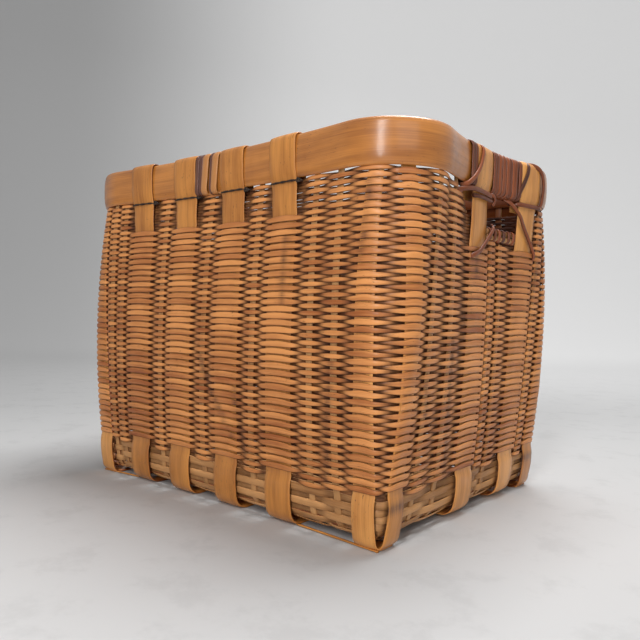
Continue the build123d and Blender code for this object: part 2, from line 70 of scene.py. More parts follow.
# %% [markdown]
# ## The shape of the wall
#
# The basket is a rectangle at its foot and swells to a belly above the middle. Higher up its
# corners grow round and its sides bow inwards. A plan of two numbers per side, a corner radius
# and a bow describes every level, and a parabola through three levels gives the belly.

# %% Sizes of the woven wall
RIM_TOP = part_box("outer_rim_hoop")[1].z
RIM_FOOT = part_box("outer_rim_hoop")[0].z
BELLY_Z = 222 * mm
LENGTHS = (457.4 * mm, 509.0 * mm, 516.3 * mm)
DEPTHS = (338.0 * mm, 371.0 * mm, 358.2 * mm)
CORNERS = (8.0 * mm, 62.0 * mm)
BOWS = (1.0 * mm, 14.0 * mm)


def plan_sizes(z):
    """Half length, half depth, corner radius and bow of the wall's plan at height z."""
    t = min(max(z / RIM_FOOT, 0.0), 1.0)
    m = BELLY_Z / RIM_FOOT
    halves = []
    for foot, belly, top in (LENGTHS, DEPTHS):
        at_foot = foot * (t - m) * (t - 1) / m
        at_belly = belly * t * (1 - t) / (m * (1 - m))
        halves.append((at_foot + at_belly + top * t * (t - m) / (1 - m)) / 2)
    corner = CORNERS[0] + (CORNERS[1] - CORNERS[0]) * t
    return halves[0], halves[1], corner, BOWS[0] + (BOWS[1] - BOWS[0]) * t


def quarter(z):
    """Points, outward directions and run of a quarter of the plan, from front to right middle."""
    a, b, corner, bow = plan_sizes(z)
    cx, cy = a - corner, b - corner
    far = [(run**2 + (corner - bow) ** 2 - corner**2) / (2 * bow) for run in (cx, cy)]
    long_y, short_x = b - bow + far[0], a - bow + far[1]
    first = math.atan2(long_y - cy, -cx)
    last = math.atan2(-cy, short_x - cx)
    points, outs = [], []
    for angle in np.linspace(math.pi / 2, math.pi / 2 + math.atan2(cx, long_y - cy), 24):
        x, y = -far[0] * math.cos(angle), long_y - far[0] * math.sin(angle)
        points.append((x, y))
        outs.append((-x, long_y - y))
    for angle in np.linspace(first, last, 20)[1:-1]:
        outs.append((math.cos(angle), math.sin(angle)))
        points.append((cx + corner * outs[-1][0], cy + corner * outs[-1][1]))
    for angle in np.linspace(math.atan2(cy, short_x - cx), 0.0, 16):
        x, y = short_x - far[1] * math.cos(angle), far[1] * math.sin(angle)
        points.append((x, y))
        outs.append((short_x - x, -y))
    points = np.array(points) * (1, -1)
    outs = np.array(outs) * (1, -1)
    return points, unit(outs), distances(points)


class Level:
    """One level of the wall: finds places along it, and points on it."""

    def __init__(self, z):
        self.z = z
        self.points, self.outs, self.run = quarter(z)
        self.quarter = self.run[-1]
        self.length = 4 * self.quarter
        self.widest = int(np.argmax(self.points[:, 0]))
        self.deepest = int(np.argmin(self.points[:, 1]))

    def place(self, side, along):
        """Run from the middle of the front, going right, to a place on a side."""
        if side in ("front", "back"):
            until = self.widest + 1
            step = np.interp(abs(along), self.points[:until, 0], self.run[:until])
            step = math.copysign(step, along)
            return step if side == "front" else 2 * self.quarter - step
        after = self.deepest
        reached = -self.points[after:, 1][::-1]
        step = self.quarter - np.interp(abs(along), reached, self.run[after:][::-1])
        step = math.copysign(step, along)
        return self.quarter + step if side == "right" else 3 * self.quarter - step

    def at(self, runs, offset=0.0):
        """Points and outward directions at an array of runs, offset outwards."""
        runs = np.mod(np.asarray(runs, float), self.length)
        turn = np.minimum(np.floor(runs / self.quarter).astype(int), 3)
        left = runs - turn * self.quarter
        left = np.where(turn % 2 == 0, left, self.quarter - left)
        signs = np.array([(1, 1), (1, -1), (-1, -1), (-1, 1)])[turn]
        points = np.stack([np.interp(left, self.run, self.points[:, i]) for i in (0, 1)], 1) * signs
        outs = np.stack([np.interp(left, self.run, self.outs[:, i]) for i in (0, 1)], 1) * signs
        outs = unit(outs)
        return points + outs * np.asarray(offset).reshape(-1, 1), outs


print("belly is", round(2000 * plan_sizes(BELLY_Z)[0]), "mm long")

# %% [markdown]
# ## One helper for every strip
#
# A strip is a closed section carried along a path. A grid from bmesh already has its faces in
# rows, so the helper only moves its points: rows go along the strip and columns go round its
# section. Three attributes travel with the mesh. "strip" holds the place along the strip, the
# place across it and a number of its own, for the grain. "relief" says how far a strand stands
# out of the weave, for painted shade where it dips, and is lowered on the edges and the inner side
# of a strip, for a painted shadow line along its edges and painted shade on its inner side. "joint" marks
# the nodes of the bamboo.

# %% Carry a section along a path
UP = np.array((0.0, 0.0, 1.0))
# Painted shade on a strip's edges and inner side: its strength at the upper edge against the lower one, and
# how fast it fades towards the middle.
UPPER_EDGE_SHADE = 0.75
EDGE_SHADE_FALL = 4


def new_mesh():
    """Empty bmesh with the three attributes that the materials read."""
    bm = bmesh.new()
    bm.verts.layers.float_vector.new("strip")
    bm.verts.layers.float.new("relief")
    bm.verts.layers.float.new("joint")
    return bm


def sweep(bm, centres, across, outward, section, wide=1.0, thick=1.0, closed=False, relief=1.0,
          joint=0.0, own=None, edge_shade=0.0):
    """Strip through centres, with a section of (across, outward) points scaled at each one."""
    columns = len(section)
    given = (wide, thick, relief, joint)
    wide, thick, relief, joint = (np.broadcast_to(np.asarray(v, float), (len(centres),)) for v in given)
    section = np.array(list(section) + [section[0]], float)
    # The edges and the inner side get a lower relief, which the materials paint as a shadow line under each
    # strand and as shade on its inner side.
    edge = section[:, 0] / np.abs(section[:, 0]).max()
    edge = np.where(edge < 0, -edge, UPPER_EDGE_SHADE * edge) ** EDGE_SHADE_FALL
    unshaded = 1 - edge_shade * np.where(section[:, 1] < 0, 1.0, edge)
    spots = centres[:, None] + across[:, None] * (section[None, :, :1] * wide[:, None, None])
    spots = spots + outward[:, None] * (section[None, :, 1:] * thick[:, None, None])
    along = distances(centres) + random.uniform(0, 9)
    if closed:
        spots = np.concatenate([spots, spots[:1]])
        along = np.append(along, along[-1] + np.linalg.norm(centres[0] - centres[-1]))
        relief = np.append(relief, relief[0])
        joint = np.append(joint, joint[0])
        wide = np.append(wide, wide[0])
    rows = len(spots)
    own = random.random() if own is None else own
    strip = bm.verts.layers.float_vector["strip"]
    stand = bm.verts.layers.float["relief"]
    knuckle = bm.verts.layers.float["joint"]
    made = bmesh.ops.create_grid(bm, x_segments=columns, y_segments=rows - 1, size=1.0)["verts"]
    for i, (vert, spot) in enumerate(zip(made, spots.reshape(-1, 3))):
        row, column = divmod(i, columns + 1)
        vert.co = spot
        vert[strip] = (along[row], section[column, 0] * wide[row], own)
        vert[stand] = relief[row] * unshaded[column]
        vert[knuckle] = joint[row]
    ends = [made[0], made[columns // 2], made[-1], made[-1 - columns // 2]]
    bmesh.ops.remove_doubles(bm, verts=made, dist=1e-7)
    if not closed:
        rims = {e for v in ends if v.is_valid for e in v.link_edges if e.is_boundary}
        grown = True
        while grown:
            near = {n for e in rims for v in e.verts for n in v.link_edges if n.is_boundary}
            grown = bool(near - rims)
            rims |= near
        bmesh.ops.holes_fill(bm, edges=list(rims), sides=columns + 1)


def smooth_object(name, bm, material):
    """Turn a bmesh into a smooth object of one material."""
    mesh = bpy.data.meshes.new(name)
    bm.to_mesh(mesh)
    bm.free()
    mesh.polygons.foreach_set("use_smooth", [True] * len(mesh.polygons))
    mesh.materials.append(material)
    made = bpy.data.objects.new(name, mesh)
    bpy.context.collection.objects.link(made)
    return made


def finish_piece(name, bm, material, slot, *nodes):
    """Turn a bmesh into a smooth piece that rides on the basket, and hide the CAD nodes that it stands for.
    """
    bmesh.ops.recalc_face_normals(bm, faces=bm.faces)
    piece = smooth_object(name, bm, material)
    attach(piece, "root")
    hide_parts(*nodes)
    print(name, len(piece.data.polygons), "faces")


print("strip helpers ready: sweep and finish_piece")

# %% [markdown]
# ## Sections and smooth paths
#
# A split strip is round on its bark side and flat on its pith side, and its edges are eased with
# a knife. A peeled cane is nearly round. Both are lists of points round a section. Paths are
# typed as a few points, because a maker's strip bends smoothly through them, and a spline adds
# the rest.

# %% Sections and smooth paths


def flat_section(width, thick, crown=0.0, edge=0.35 * mm, steps=6):
    """Section of a split strip: a crowned bark side, eased edges and a flat pith side."""
    points = []
    for i in range(steps + 1):
        t = -1 + 2 * i / steps
        points.append((t * (width / 2 - edge), thick / 2 + crown * (1 - t * t)))
    points.append((width / 2, thick / 2 - edge))
    points.append((width / 2, -thick / 2 + edge))
    points += [(width / 2 - edge, -thick / 2), (0, -thick / 2), (-width / 2 + edge, -thick / 2)]
    points.append((-width / 2, -thick / 2 + edge))
    points.append((-width / 2, thick / 2 - edge))
    return points


def round_section(width, thick, count=10):
    """Section of a peeled cane, as an ellipse."""
    turns = [2 * math.pi * i / count for i in range(count)]
    return [(width / 2 * math.sin(a), thick / 2 * math.cos(a)) for a in turns]


def smooth_path(points, step):
    """Evenly spaced points on a smooth line through some points."""
    points = np.array(points, float)
    ends = np.concatenate([2 * points[:1] - points[1:2], points, 2 * points[-1:] - points[-2:-1]])
    fine = []
    for p0, p1, p2, p3 in zip(ends, ends[1:], ends[2:], ends[3:]):
        for t in np.linspace(0, 1, 12, endpoint=False):
            bend = (2 * p0 - 5 * p1 + 4 * p2 - p3) * t**2 + (3 * p1 - p0 - 3 * p2 + p3) * t**3
            fine.append((2 * p1 + (p2 - p0) * t + bend) / 2)
    fine = np.array(fine + [points[-1]])
    run = distances(fine)
    places = np.linspace(0, run[-1], max(int(run[-1] / step), 4))
    return np.stack([np.interp(places, run, fine[:, i]) for i in range(fine.shape[1])], 1)


print("a flat strip's section has", len(flat_section(10 * mm, 1 * mm)), "points")

# %% [markdown]
# ## Bamboo and cane
#
# Split bamboo is a bundle of fibres: fine lines run along it, small dark flecks follow them, and
# age turns it from straw to honey and red brown. One node group works all that out from the
# place along and across each strip, and every material places it with its own two colours. Faces
# that look inwards are painted darker and redder, a painted shade for the inside of the basket.
# The shader stays in the material, so that its gloss can be set for each finish.

# %% The fibre group
def add(tree, kind, **values):
    """Node of a kind, with its properties or its inputs set by name."""
    node = tree.nodes.new(kind)
    for key, value in values.items():
        if hasattr(node, key):
            setattr(node, key, value)
        else:
            node.inputs[key.replace("_", " ")].default_value = value
    return node


def feed(tree, sockets, values):
    """Give sockets their values, each a number, a colour or the socket of another node."""
    for socket, value in zip(sockets, values):
        if isinstance(value, bpy.types.NodeSocket):
            tree.links.new(value, socket)
        else:
            socket.default_value = value


def math_node(tree, operation, *values, clamp=False):
    """Math node whose inputs are sockets or numbers."""
    node = add(tree, "ShaderNodeMath", operation=operation, use_clamp=clamp)
    feed(tree, node.inputs, values)
    return node.outputs[0]


def vector_node(tree, operation, *values):
    """Vector math node whose inputs are sockets or vectors."""
    node = add(tree, "ShaderNodeVectorMath", operation=operation)
    feed(tree, node.inputs, values)
    return node.outputs


def spread(tree, value, low, high, out_low=0.0, out_high=1.0):
    """Map a range of a value smoothly onto another."""
    node = add(tree, "ShaderNodeMapRange", interpolation_type="SMOOTHSTEP")
    sockets = [node.inputs[name] for name in ("Value", "From Min", "From Max", "To Min", "To Max")]
    feed(tree, sockets, (value, low, high, out_low, out_high))
    return node.outputs["Result"]


def noise(tree, vector, scale, detail=3.0, rough=0.55):
    """Noise value at a vector."""
    node = add(tree, "ShaderNodeTexNoise", Scale=scale, Detail=detail, Roughness=rough)
    tree.links.new(vector, node.inputs["Vector"])
    return node.outputs["Fac"]


def stretch(tree, x, y, z):
    """Vector from three sockets or numbers."""
    node = tree.nodes.new("ShaderNodeCombineXYZ")
    feed(tree, node.inputs, (x, y, z))
    return node.outputs[0]


def mix(tree, factor, first, second, blend="MIX"):
    """Colour mix of sockets or colours."""
    node = add(tree, "ShaderNodeMix", data_type="RGBA", blend_type=blend)
    feed(tree, (node.inputs[0], node.inputs[6], node.inputs[7]), (factor, first, second))
    return node.outputs[2]


def facing(tree):
    """How far a face looks away from the middle of the basket, in metres; less than 0 inside."""
    coords = tree.nodes.new("ShaderNodeTexCoord").outputs
    from_middle = vector_node(tree, "MULTIPLY", coords["Object"], (1, 1, 0))["Vector"]
    return vector_node(tree, "DOT_PRODUCT", from_middle, coords["Normal"])["Value"]


# The first colour is painted shade, laid where strands dip behind uprights and along their edges; the last
# is painted shade for faces that look inwards.
PAINTED_SHADE_COLOUR = (0.045, 0.014, 0.006, 1)
FLECK = (0.05, 0.018, 0.008, 1)
KNUCKLE = (0.075, 0.026, 0.014, 1)
SHADE_INSIDE = (0.36, 0.22, 0.18, 1)


def fibre_group():
    """Group: colour with painted shade, gloss loss and height of split bamboo, from its strip attribute."""
    tree = bpy.data.node_groups.new("bamboo fibres", "ShaderNodeTree")
    for name, kind, value in (
        ("Light", "NodeSocketColor", (0.6, 0.3, 0.1, 1)),
        ("Dark", "NodeSocketColor", (0.3, 0.1, 0.03, 1)),
        ("Variety", "NodeSocketFloat", 0.5),
        ("Grain", "NodeSocketFloat", 0.5),
        ("Specks", "NodeSocketFloat", 0.5),
        ("Shade Strength", "NodeSocketFloat", 0.5),
    ):
        socket = tree.interface.new_socket(name=name, in_out="INPUT", socket_type=kind)
        socket.default_value = value
    for name, kind in (("Color", "Color"), ("Roughness", "Float"), ("Height", "Float")):
        tree.interface.new_socket(name=name, in_out="OUTPUT", socket_type="NodeSocket" + kind)
    given = tree.nodes.new("NodeGroupInput").outputs
    strip = add(tree, "ShaderNodeAttribute", attribute_name="strip").outputs["Vector"]
    stand = add(tree, "ShaderNodeAttribute", attribute_name="relief").outputs["Fac"]
    knuckle = add(tree, "ShaderNodeAttribute", attribute_name="joint").outputs["Fac"]
    place = tree.nodes.new("ShaderNodeTexCoord").outputs["Object"]
    split = tree.nodes.new("ShaderNodeSeparateXYZ")
    tree.links.new(strip, split.inputs[0])
    along, across, own = split.outputs
    apart = math_node(tree, "MULTIPLY", own, 37.0)

    def drawn_out(lengthwise, crosswise):
        """Vector that is different in each strip, with a scale along its fibres and one across."""
        x = math_node(tree, "MULTIPLY", along, lengthwise)
        return stretch(tree, x, math_node(tree, "MULTIPLY", across, crosswise), apart)

    fine = noise(tree, drawn_out(14.0, 900.0), 1.0, 4.0, 0.6)
    broad = noise(tree, drawn_out(9.0, 90.0), 1.0, 3.0)
    speck = spread(tree, noise(tree, drawn_out(160.0, 900.0), 1.0, 2.0), 0.66, 0.74)
    crowd = spread(tree, noise(tree, place, 22.0, 2.0), 0.45, 0.62)
    speck = math_node(tree, "MULTIPLY", math_node(tree, "MULTIPLY", speck, crowd), given["Specks"])
    patina = noise(tree, place, 9.0, 4.0, 0.6)
    cloud = noise(tree, place, 60.0, 3.0, 0.6)

    own_tone = math_node(tree, "MULTIPLY", math_node(tree, "SUBTRACT", own, 0.5), given["Variety"])
    grain = math_node(tree, "MULTIPLY", math_node(tree, "SUBTRACT", fine, 0.5), given["Grain"])
    tone = math_node(tree, "ADD", own_tone, grain)
    tone = math_node(tree, "ADD", tone, spread(tree, broad, 0.3, 0.7, 0.1, 0.6))
    tone = math_node(tree, "ADD", tone, spread(tree, patina, 0.35, 0.68, -0.15, 0.2), clamp=True)
    colour = mix(tree, tone, given["Light"], given["Dark"])
    # Painted shade: the lower a strand's relief, where it dips behind an upright and along its edges and
    # inner side, the darker it is painted; the same mask raises its roughness.
    deep = spread(tree, stand, 0.15, 0.95, 1.0, 0.0)
    shade_and_dullness = math_node(tree, "MULTIPLY", deep, given["Shade Strength"], clamp=True)
    shade_and_dullness = math_node(tree, "MULTIPLY", shade_and_dullness, spread(tree, cloud, 0.2, 0.7, 0.6, 1.0), clamp=True)
    colour = mix(tree, shade_and_dullness, colour, PAINTED_SHADE_COLOUR)
    colour = mix(tree, speck, colour, FLECK)
    ring = math_node(tree, "MULTIPLY", knuckle, spread(tree, fine, 0.3, 0.65, 0.35, 1.0), clamp=True)
    colour = mix(tree, ring, colour, KNUCKLE)
    # Painted shade: faces that look into the basket are painted darker and redder.
    inside = spread(tree, facing(tree), -0.06, -0.01, 1.0, 0.0)
    colour = mix(tree, inside, colour, mix(tree, 1.0, colour, SHADE_INSIDE, "MULTIPLY"))
    rough = math_node(tree, "MULTIPLY_ADD", shade_and_dullness, 0.3, spread(tree, cloud, 0.3, 0.7, 0.36, 0.52))
    height = math_node(tree, "MULTIPLY", fine, given["Grain"])
    height = math_node(tree, "SUBTRACT", height, math_node(tree, "MULTIPLY", speck, 0.6))
    out = tree.nodes.new("NodeGroupOutput").inputs
    feed(tree, (out["Color"], out["Roughness"], out["Height"]), (colour, rough, height))
    return tree


FIBRES = fibre_group()
print("fibre group has", len(FIBRES.nodes), "nodes")

# %% [markdown]
# ## A finish for each kind of strip
#
# The rim was scraped and polished by hands, so it has the strongest coat. The slats keep some
# gloss, and those at the ends and the long sides' corner stakes are paler. Woven strands are
# painted darker where they dip, a painted shade. Cane is red brown and uneven from turn to
# turn. One function places the fibre group in a material, and each finish is one line of values.

# %% A finish for each kind of strip
def linear(red, green, blue):
    """Linear colour from 0 to 255 values."""
    return tuple(((c / 255 + 0.055) / 1.055) ** 2.4 for c in (red, green, blue)) + (1,)


def new_material(name):
    """Material with its node tree and its shader."""
    material = bpy.data.materials.new(name)
    material.use_nodes = True
    return material, material.node_tree, material.node_tree.nodes["Principled BSDF"]


def bamboo(name, light, dark, variety, grain, specks, shade_strength, coat, bump):
    """Material of split bamboo or cane from the fibre group."""
    material, tree, shader = new_material(name)
    group = add(tree, "ShaderNodeGroup", node_tree=FIBRES)
    sockets = [group.inputs[key] for key in ("Light", "Dark", "Variety", "Grain", "Specks", "Shade Strength")]
    feed(tree, sockets, (linear(*light), linear(*dark), variety, grain, specks, shade_strength))
    tree.links.new(group.outputs["Color"], shader.inputs["Base Color"])
    tree.links.new(group.outputs["Roughness"], shader.inputs["Roughness"])
    lift = add(tree, "ShaderNodeBump", Strength=0.5, Distance=bump)
    tree.links.new(group.outputs["Height"], lift.inputs["Height"])
    tree.links.new(lift.outputs["Normal"], shader.inputs["Normal"])
    shader.inputs["Specular IOR Level"].default_value = 0.3
    shader.inputs["Coat Weight"].default_value = coat
    shader.inputs["Coat Roughness"].default_value = 0.22
    return material


# The fourth number after the two colours sets the strength of the painted shade where strands dip and along
# their edges.
RIM = bamboo("rim bamboo", (208, 134, 58), (138, 76, 26), 0.1, 0.8, 1.0, 0.0, 0.8, 0.0002)
SLAT = bamboo("slat bamboo", (218, 146, 70), (150, 86, 32), 0.3, 0.8, 1.0, 0.2, 0.4, 0.0002)
PALE = bamboo("pale slat bamboo", (246, 176, 98), (184, 114, 52), 0.3, 0.8, 1.0, 0.2, 0.35, 0.0002)
STAKE = bamboo("stake bamboo", (214, 160, 104), (140, 92, 50), 0.4, 0.5, 0.5, 0.3, 0.1, 0.0002)
WOVEN = bamboo("woven bamboo", (240, 162, 94), (160, 88, 42), 0.6, 0.8, 0.8, 0.95, 0.15, 0.0002)
COARSE = bamboo("coarse bamboo", (224, 166, 108), (142, 94, 52), 0.5, 0.6, 0.4, 0.45, 0.0, 0.0002)
CANE = bamboo("cane", (150, 78, 38), (70, 32, 17), 0.9, 0.7, 0.3, 0.4, 0.25, 0.00025)
WRAP = bamboo("wrapping cane", (196, 132, 74), (98, 58, 44), 1.6, 0.5, 0.3, 0.2, 0.5, 0.0002)
print(len(bpy.data.materials), "materials so far")

# %% [markdown]
# ## Iron wire
#
# The ties under the rim are old iron wire, nearly black, with a dull skin of oxide. Its colour
# needs only a little mottling, and its roughness varies with the same noise.

# %% Wire finish
def wire_finish():
    """Dark annealed iron wire."""
    material, tree, shader = new_material("iron wire")
    place = tree.nodes.new("ShaderNodeTexCoord").outputs["Object"]
    spots = noise(tree, place, 400.0, 4.0)
    colour = mix(tree, spread(tree, spots, 0.4, 0.65), linear(46, 42, 40), linear(84, 66, 54))
    tree.links.new(colour, shader.inputs["Base Color"])
    tree.links.new(spread(tree, spots, 0.3, 0.7, 0.4, 0.7), shader.inputs["Roughness"])
    shader.inputs["Metallic"].default_value = 0.6
    return material


IRON = wire_finish()
print("wire finish made")

# %% [markdown]
# ## The uprights
#
# Everything woven needs something to weave round. Wide slats run from inside the rim over it,
# down through the weave, across the underside and up the far side. Narrow stakes stand between
# them, and a wider tapering pair stands at each corner. All are flat strips with the round bark
# side outwards, so each is one section carried along one path.

# %% Where the uprights stand
SLAT_WIDTH = 38.5 * mm
STAKE_WIDTH = 8 * mm
CROSS = (-138, -60, 21, 102.5)
ENDS = (-15.5, 89.5)
LONG_STAKES = (-194, -174.5, -96.5, -18.5, 62.5, 146.5, 179)
SHORT_STAKES = (-116, -73, 122)
HANDLE_STAKES = (16, 39)
CROSS_EXIT = 320 * mm
END_EXIT = 296 * mm
MIDDLE = -3.6 * mm
ABOVE_BEND = ((28, 0.9), (41, 0.0), (47, -1.2), (53, -3))
levels = {}


def level(z):
    """Level of the wall at height z, kept for the next strip that needs it."""
    key = round(z, 4)
    if key not in levels:
        levels[key] = Level(key)
    return levels[key]


def wall_point(side, along, z, offset):
    """Point of the wall, with its direction along the wall and its direction outwards."""
    here = level(z)
    points, outs = here.at([here.place(side, along)], offset)
    out = np.array((*outs[0], 0.0))
    return np.array((*points[0], z)), np.cross(UP, out), out


def square_to(tangent, rows):
    """Rows of an array, each turned square to a path's tangent and made 1 long."""
    share = np.sum(rows * tangent, 1) / np.sum(tangent * tangent, 1)
    return unit(rows - tangent * share[:, None])


def standing(bm, side, path, section, places, wide=1.0, joint=0.0, own=None):
    """Strip that stands in a side's wall, along (height, offset) pairs and their places."""
    centres, across = [], []
    for (z, offset), along in zip(path, places):
        point, run, _ = wall_point(side, along, max(z, 0.0), offset)
        point[2] = z
        centres.append(point)
        across.append(run)
    centres = np.array(centres)
    tangent = np.gradient(centres, axis=0)
    across = square_to(tangent, np.array(across))
    outward = unit(np.cross(across, tangent))
    sweep(bm, centres, across, outward, section, wide, joint=joint, own=own)


def foot(layer, bend):
    """Path of a strip from under the floor, round the bottom edge, to the fine weave."""
    points = []
    for angle in (0, 18, 36, 54, 72, 90):
        turn = math.radians(angle)
        points.append((layer + bend * (1 - math.cos(turn)), 0.3 * mm - bend * (1 - math.sin(turn))))
    return points + [(z * mm, out * mm) for z, out in ABOVE_BEND]


print("slats at", CROSS, "and", ENDS)

# %% [markdown]
# ## Slats that loop over the rim
#
# A slat's tail is tucked inside the rim. From there it goes up and over both hoops, dips behind
# the ties, slips into the weave and comes out again at the foot. The path is typed once, as
# heights and offsets from the wall, and the other half of the slat is the same path backwards.

# %% Slats that loop over the rim
TAIL = [(343, -11), (360, -11), (378, -11), (392, -11)]
LOOP = [(397.8, -9.4), (400.5, -6.5), (401.3, -3.0), (401.1, 0.4), (399.5, 3.2), (396.0, 5.1)]
LOOP += [(388, 5.6), (378, 5.3), (368, 4.8), (360, 3.5), (353, 1.6), (346, -0.2)]
SLAT_BEND = 14 * mm
SLAT_NARROWING = 0.065
HOOP_MIDDLE = 370 * mm


def slat_path(exit_z, layer):
    """Height and offset of a slat from its tail inside the rim to the floor."""
    points = [(z * mm, out * mm) for z, out in TAIL + LOOP]
    span = 346 * mm - exit_z
    points.append((exit_z + 0.45 * span, -1.6 * mm))
    points.append((exit_z, MIDDLE))
    points += [(z, MIDDLE) for z in np.arange(exit_z - 8 * mm, 62 * mm, -24 * mm)]
    return smooth_path(points + foot(layer, SLAT_BEND)[::-1], 3 * mm)


def slat_taper(z):
    """Width of a slat at height z, as a share of its width over the rim."""
    return 1.0 - SLAT_NARROWING * min(max((358 * mm - z) / (14 * mm), 0.0), 1.0)


def slat(name, side, across_side, place, exit_z, layer, *nodes):
    """One slat, round the whole basket."""
    bm = new_mesh()
    half = slat_path(exit_z, layer)
    rows = []
    for here, run in ((side, half), (across_side, half[::-1])):
        for z, offset in run:
            point = wall_point(here, place * mm, max(z, 0.0), offset)[0]
            rows.append(point * (1, 1, 0) + z * UP)
    rows = np.array(rows)
    count = len(half)
    floor_run = np.linspace(rows[count - 1], rows[count], 40)[1:-1]
    centres = np.concatenate([rows[:count], floor_run, rows[count:]])
    steady = np.array((1.0, 0, 0)) if side == "front" else np.array((0, 1.0, 0))
    runs = [wall_point(here, place * mm, HOOP_MIDDLE, 0)[1] for here in (side, across_side)]
    first, last = (run if run @ steady > 0 else -run for run in runs)
    turns = [0, count, len(centres) - count, len(centres)]
    blend = np.interp(np.arange(len(centres)), turns, [0, 0.5, 0.5, 1])
    tangent = np.gradient(centres, axis=0)
    across = square_to(tangent, first * (1 - blend)[:, None] + last * blend[:, None])
    outward = unit(np.cross(tangent, across))
    if outward[len(outward) // 2][2] > 0:
        outward = -outward
    wide = [slat_taper(z) for z in centres[:, 2]]
    section = flat_section(SLAT_WIDTH, 1.5 * mm, 0.45 * mm, 0.5 * mm, 8)
    sweep(bm, centres, across, outward, section, wide)
    finish_piece(name, bm, PALE if side == "right" else SLAT, "slat_bamboo", *nodes)


random.seed(11)
for i, x in enumerate(CROSS):
    slat("slat_over_%d" % (i + 1), "front", "back", x, CROSS_EXIT, 1.3 * mm, "cross_slat_%d" % (i + 1))
for i, y in enumerate(ENDS):
    slat("slat_end_%d" % (i + 1), "right", "left", y, END_EXIT, 3.5 * mm, "end_slat_%d" % (i + 1))

# %% [markdown]
# ## Narrow stakes
#
# The stakes between the slats are narrow and stay inside the weave. They are tucked under at the
# foot and held between the hoops at the top, except one that ends under the wound joint and
# those that are bent over to make the sill of a hand hole.

# %% Narrow stakes
WEAVE_TOP = 351.5 * mm
HELD = 396 * mm
STAKE_FOOT = ((9.6, -13.8), (12.4, -10), (15.9, -7.3), (20, -5.6), (26, -5), (46, -5))
SHORT_STAKE = -18.5
HANDLE_STAKE_TOP = 301 * mm


def stake_path(top):
    """Height and offset of a narrow stake."""
    points = [(z * mm, out * mm) for z, out in STAKE_FOOT] + [(54 * mm, MIDDLE)]
    points += [(z, MIDDLE) for z in np.arange(80 * mm, top - 5 * mm, 30 * mm)]
    return smooth_path(points + [(top, MIDDLE)], 5 * mm)


def stakes(side, places):
    """All narrow stakes of one side, as (place, top)."""
    bm = new_mesh()
    for place, top in places:
        lean = random.uniform(-0.6, 0.6) * mm
        wide = random.uniform(0.94, 1.04)
        section = flat_section(STAKE_WIDTH, 1.5 * mm, 0.4 * mm, 0.4 * mm, 4)
        path = stake_path(top)
        standing(bm, side, path, section, [place * mm + lean * math.sin(z * 14) for z, _ in path], wide=wide)
    finish_piece("stakes_standing_" + side, bm, STAKE, "stake_bamboo", "stakes_" + side)


random.seed(12)
for side in ("front", "back"):
    stakes(side, [(x, WEAVE_TOP if x == SHORT_STAKE else HELD) for x in LONG_STAKES])
for side in ("right", "left"):
    stakes(side, [(y, HELD) for y in SHORT_STAKES] + [(y, HANDLE_STAKE_TOP) for y in HANDLE_STAKES])

# %% [markdown]
# ## Tapering corner stakes
#
# Two wide stakes stand beside each corner. They are broad at the foot, where they bend under the
# floor, and narrow towards the rim, where the corner is round. Their width is given by two edges
# at each height, and the weave asks for the same edges later. Those of the short sides show a
# dark node of the bamboo just above the foot.

# %% Tapering corner stakes
CORNER_EDGES = {"front": (225.7, 227.4), "right": (166.0, 162.6)}
CORNER_EDGES.update(back=CORNER_EDGES["front"], left=CORNER_EDGES["right"])
CORNER_WIDTH = 26.6
CORNER_TAPER = 14.6
CORNER_BEND = 9 * mm
KNUCKLE_Z = 41 * mm
KNUCKLE_REACH = 5 * mm


def corner_edges(side, z):
    """Near and far edge of a corner stake, as distances from the middle of its side."""
    t = z / RIM_TOP
    foot_edge, head_edge = CORNER_EDGES[side]
    near = foot_edge + (head_edge - foot_edge) * t
    return near * mm, (near - CORNER_WIDTH + CORNER_TAPER * t**1.5) * mm


def corner_path():
    """Height and offset of a corner stake, from its tuck under the floor into the hoops."""
    points = [(1.3 * mm, -26 * mm), (1.3 * mm, -17 * mm)] + foot(1.3 * mm, CORNER_BEND)
    points += [(z, MIDDLE) for z in np.arange(62 * mm, 390 * mm, 24 * mm)]
    return smooth_path(points + [(HELD, MIDDLE)], 3 * mm)


def corner_stake(side, sign, name):
    """One corner stake."""
    bm = new_mesh()
    lean = random.uniform(-0.5, 0.5) * mm
    path = corner_path()
    edges = [corner_edges(side, z) for z, _ in path]
    middle = [sign * (near + far) / 2 + lean * math.sin(z * 11) for (near, far), (z, _) in zip(edges, path)]
    width = [(near - far) / (24 * mm) for near, far in edges]
    section = flat_section(24 * mm, 1.5 * mm, 0.45 * mm, 0.5 * mm, 6)
    long_side = side in ("front", "back")
    dark = 0.0 if long_side else 0.9
    joint = [dark * math.exp(-(((z - KNUCKLE_Z) / KNUCKLE_REACH) ** 2)) for z, _ in path]
    standing(bm, side, path, section, middle, wide=width, joint=joint)
    finish_piece("dressed_" + name, bm, PALE if long_side else SLAT, "stake_bamboo", name)


random.seed(13)
for long_side, y_sign in (("front", -1), ("back", 1)):
    for short_side, x_sign in (("right", 1), ("left", -1)):
        corner_stake(long_side, x_sign, "corner_stake_%s_%s" % (long_side, short_side))
        corner_stake(short_side, y_sign, "corner_stake_%s_%s" % (short_side, long_side))

# %% [markdown]
# ## The fine weave
#
# Thin strands go round the wall in rows, over one upright and behind the next, and each row does
# the opposite of the row below. Where a strand passes from outside to inside it is pinched
# between its neighbours, so it is narrow there and full over each upright. The rows are worked
# out upright by upright: each one gives a strand its depth and its height, and the strand eases
# from one to the next.

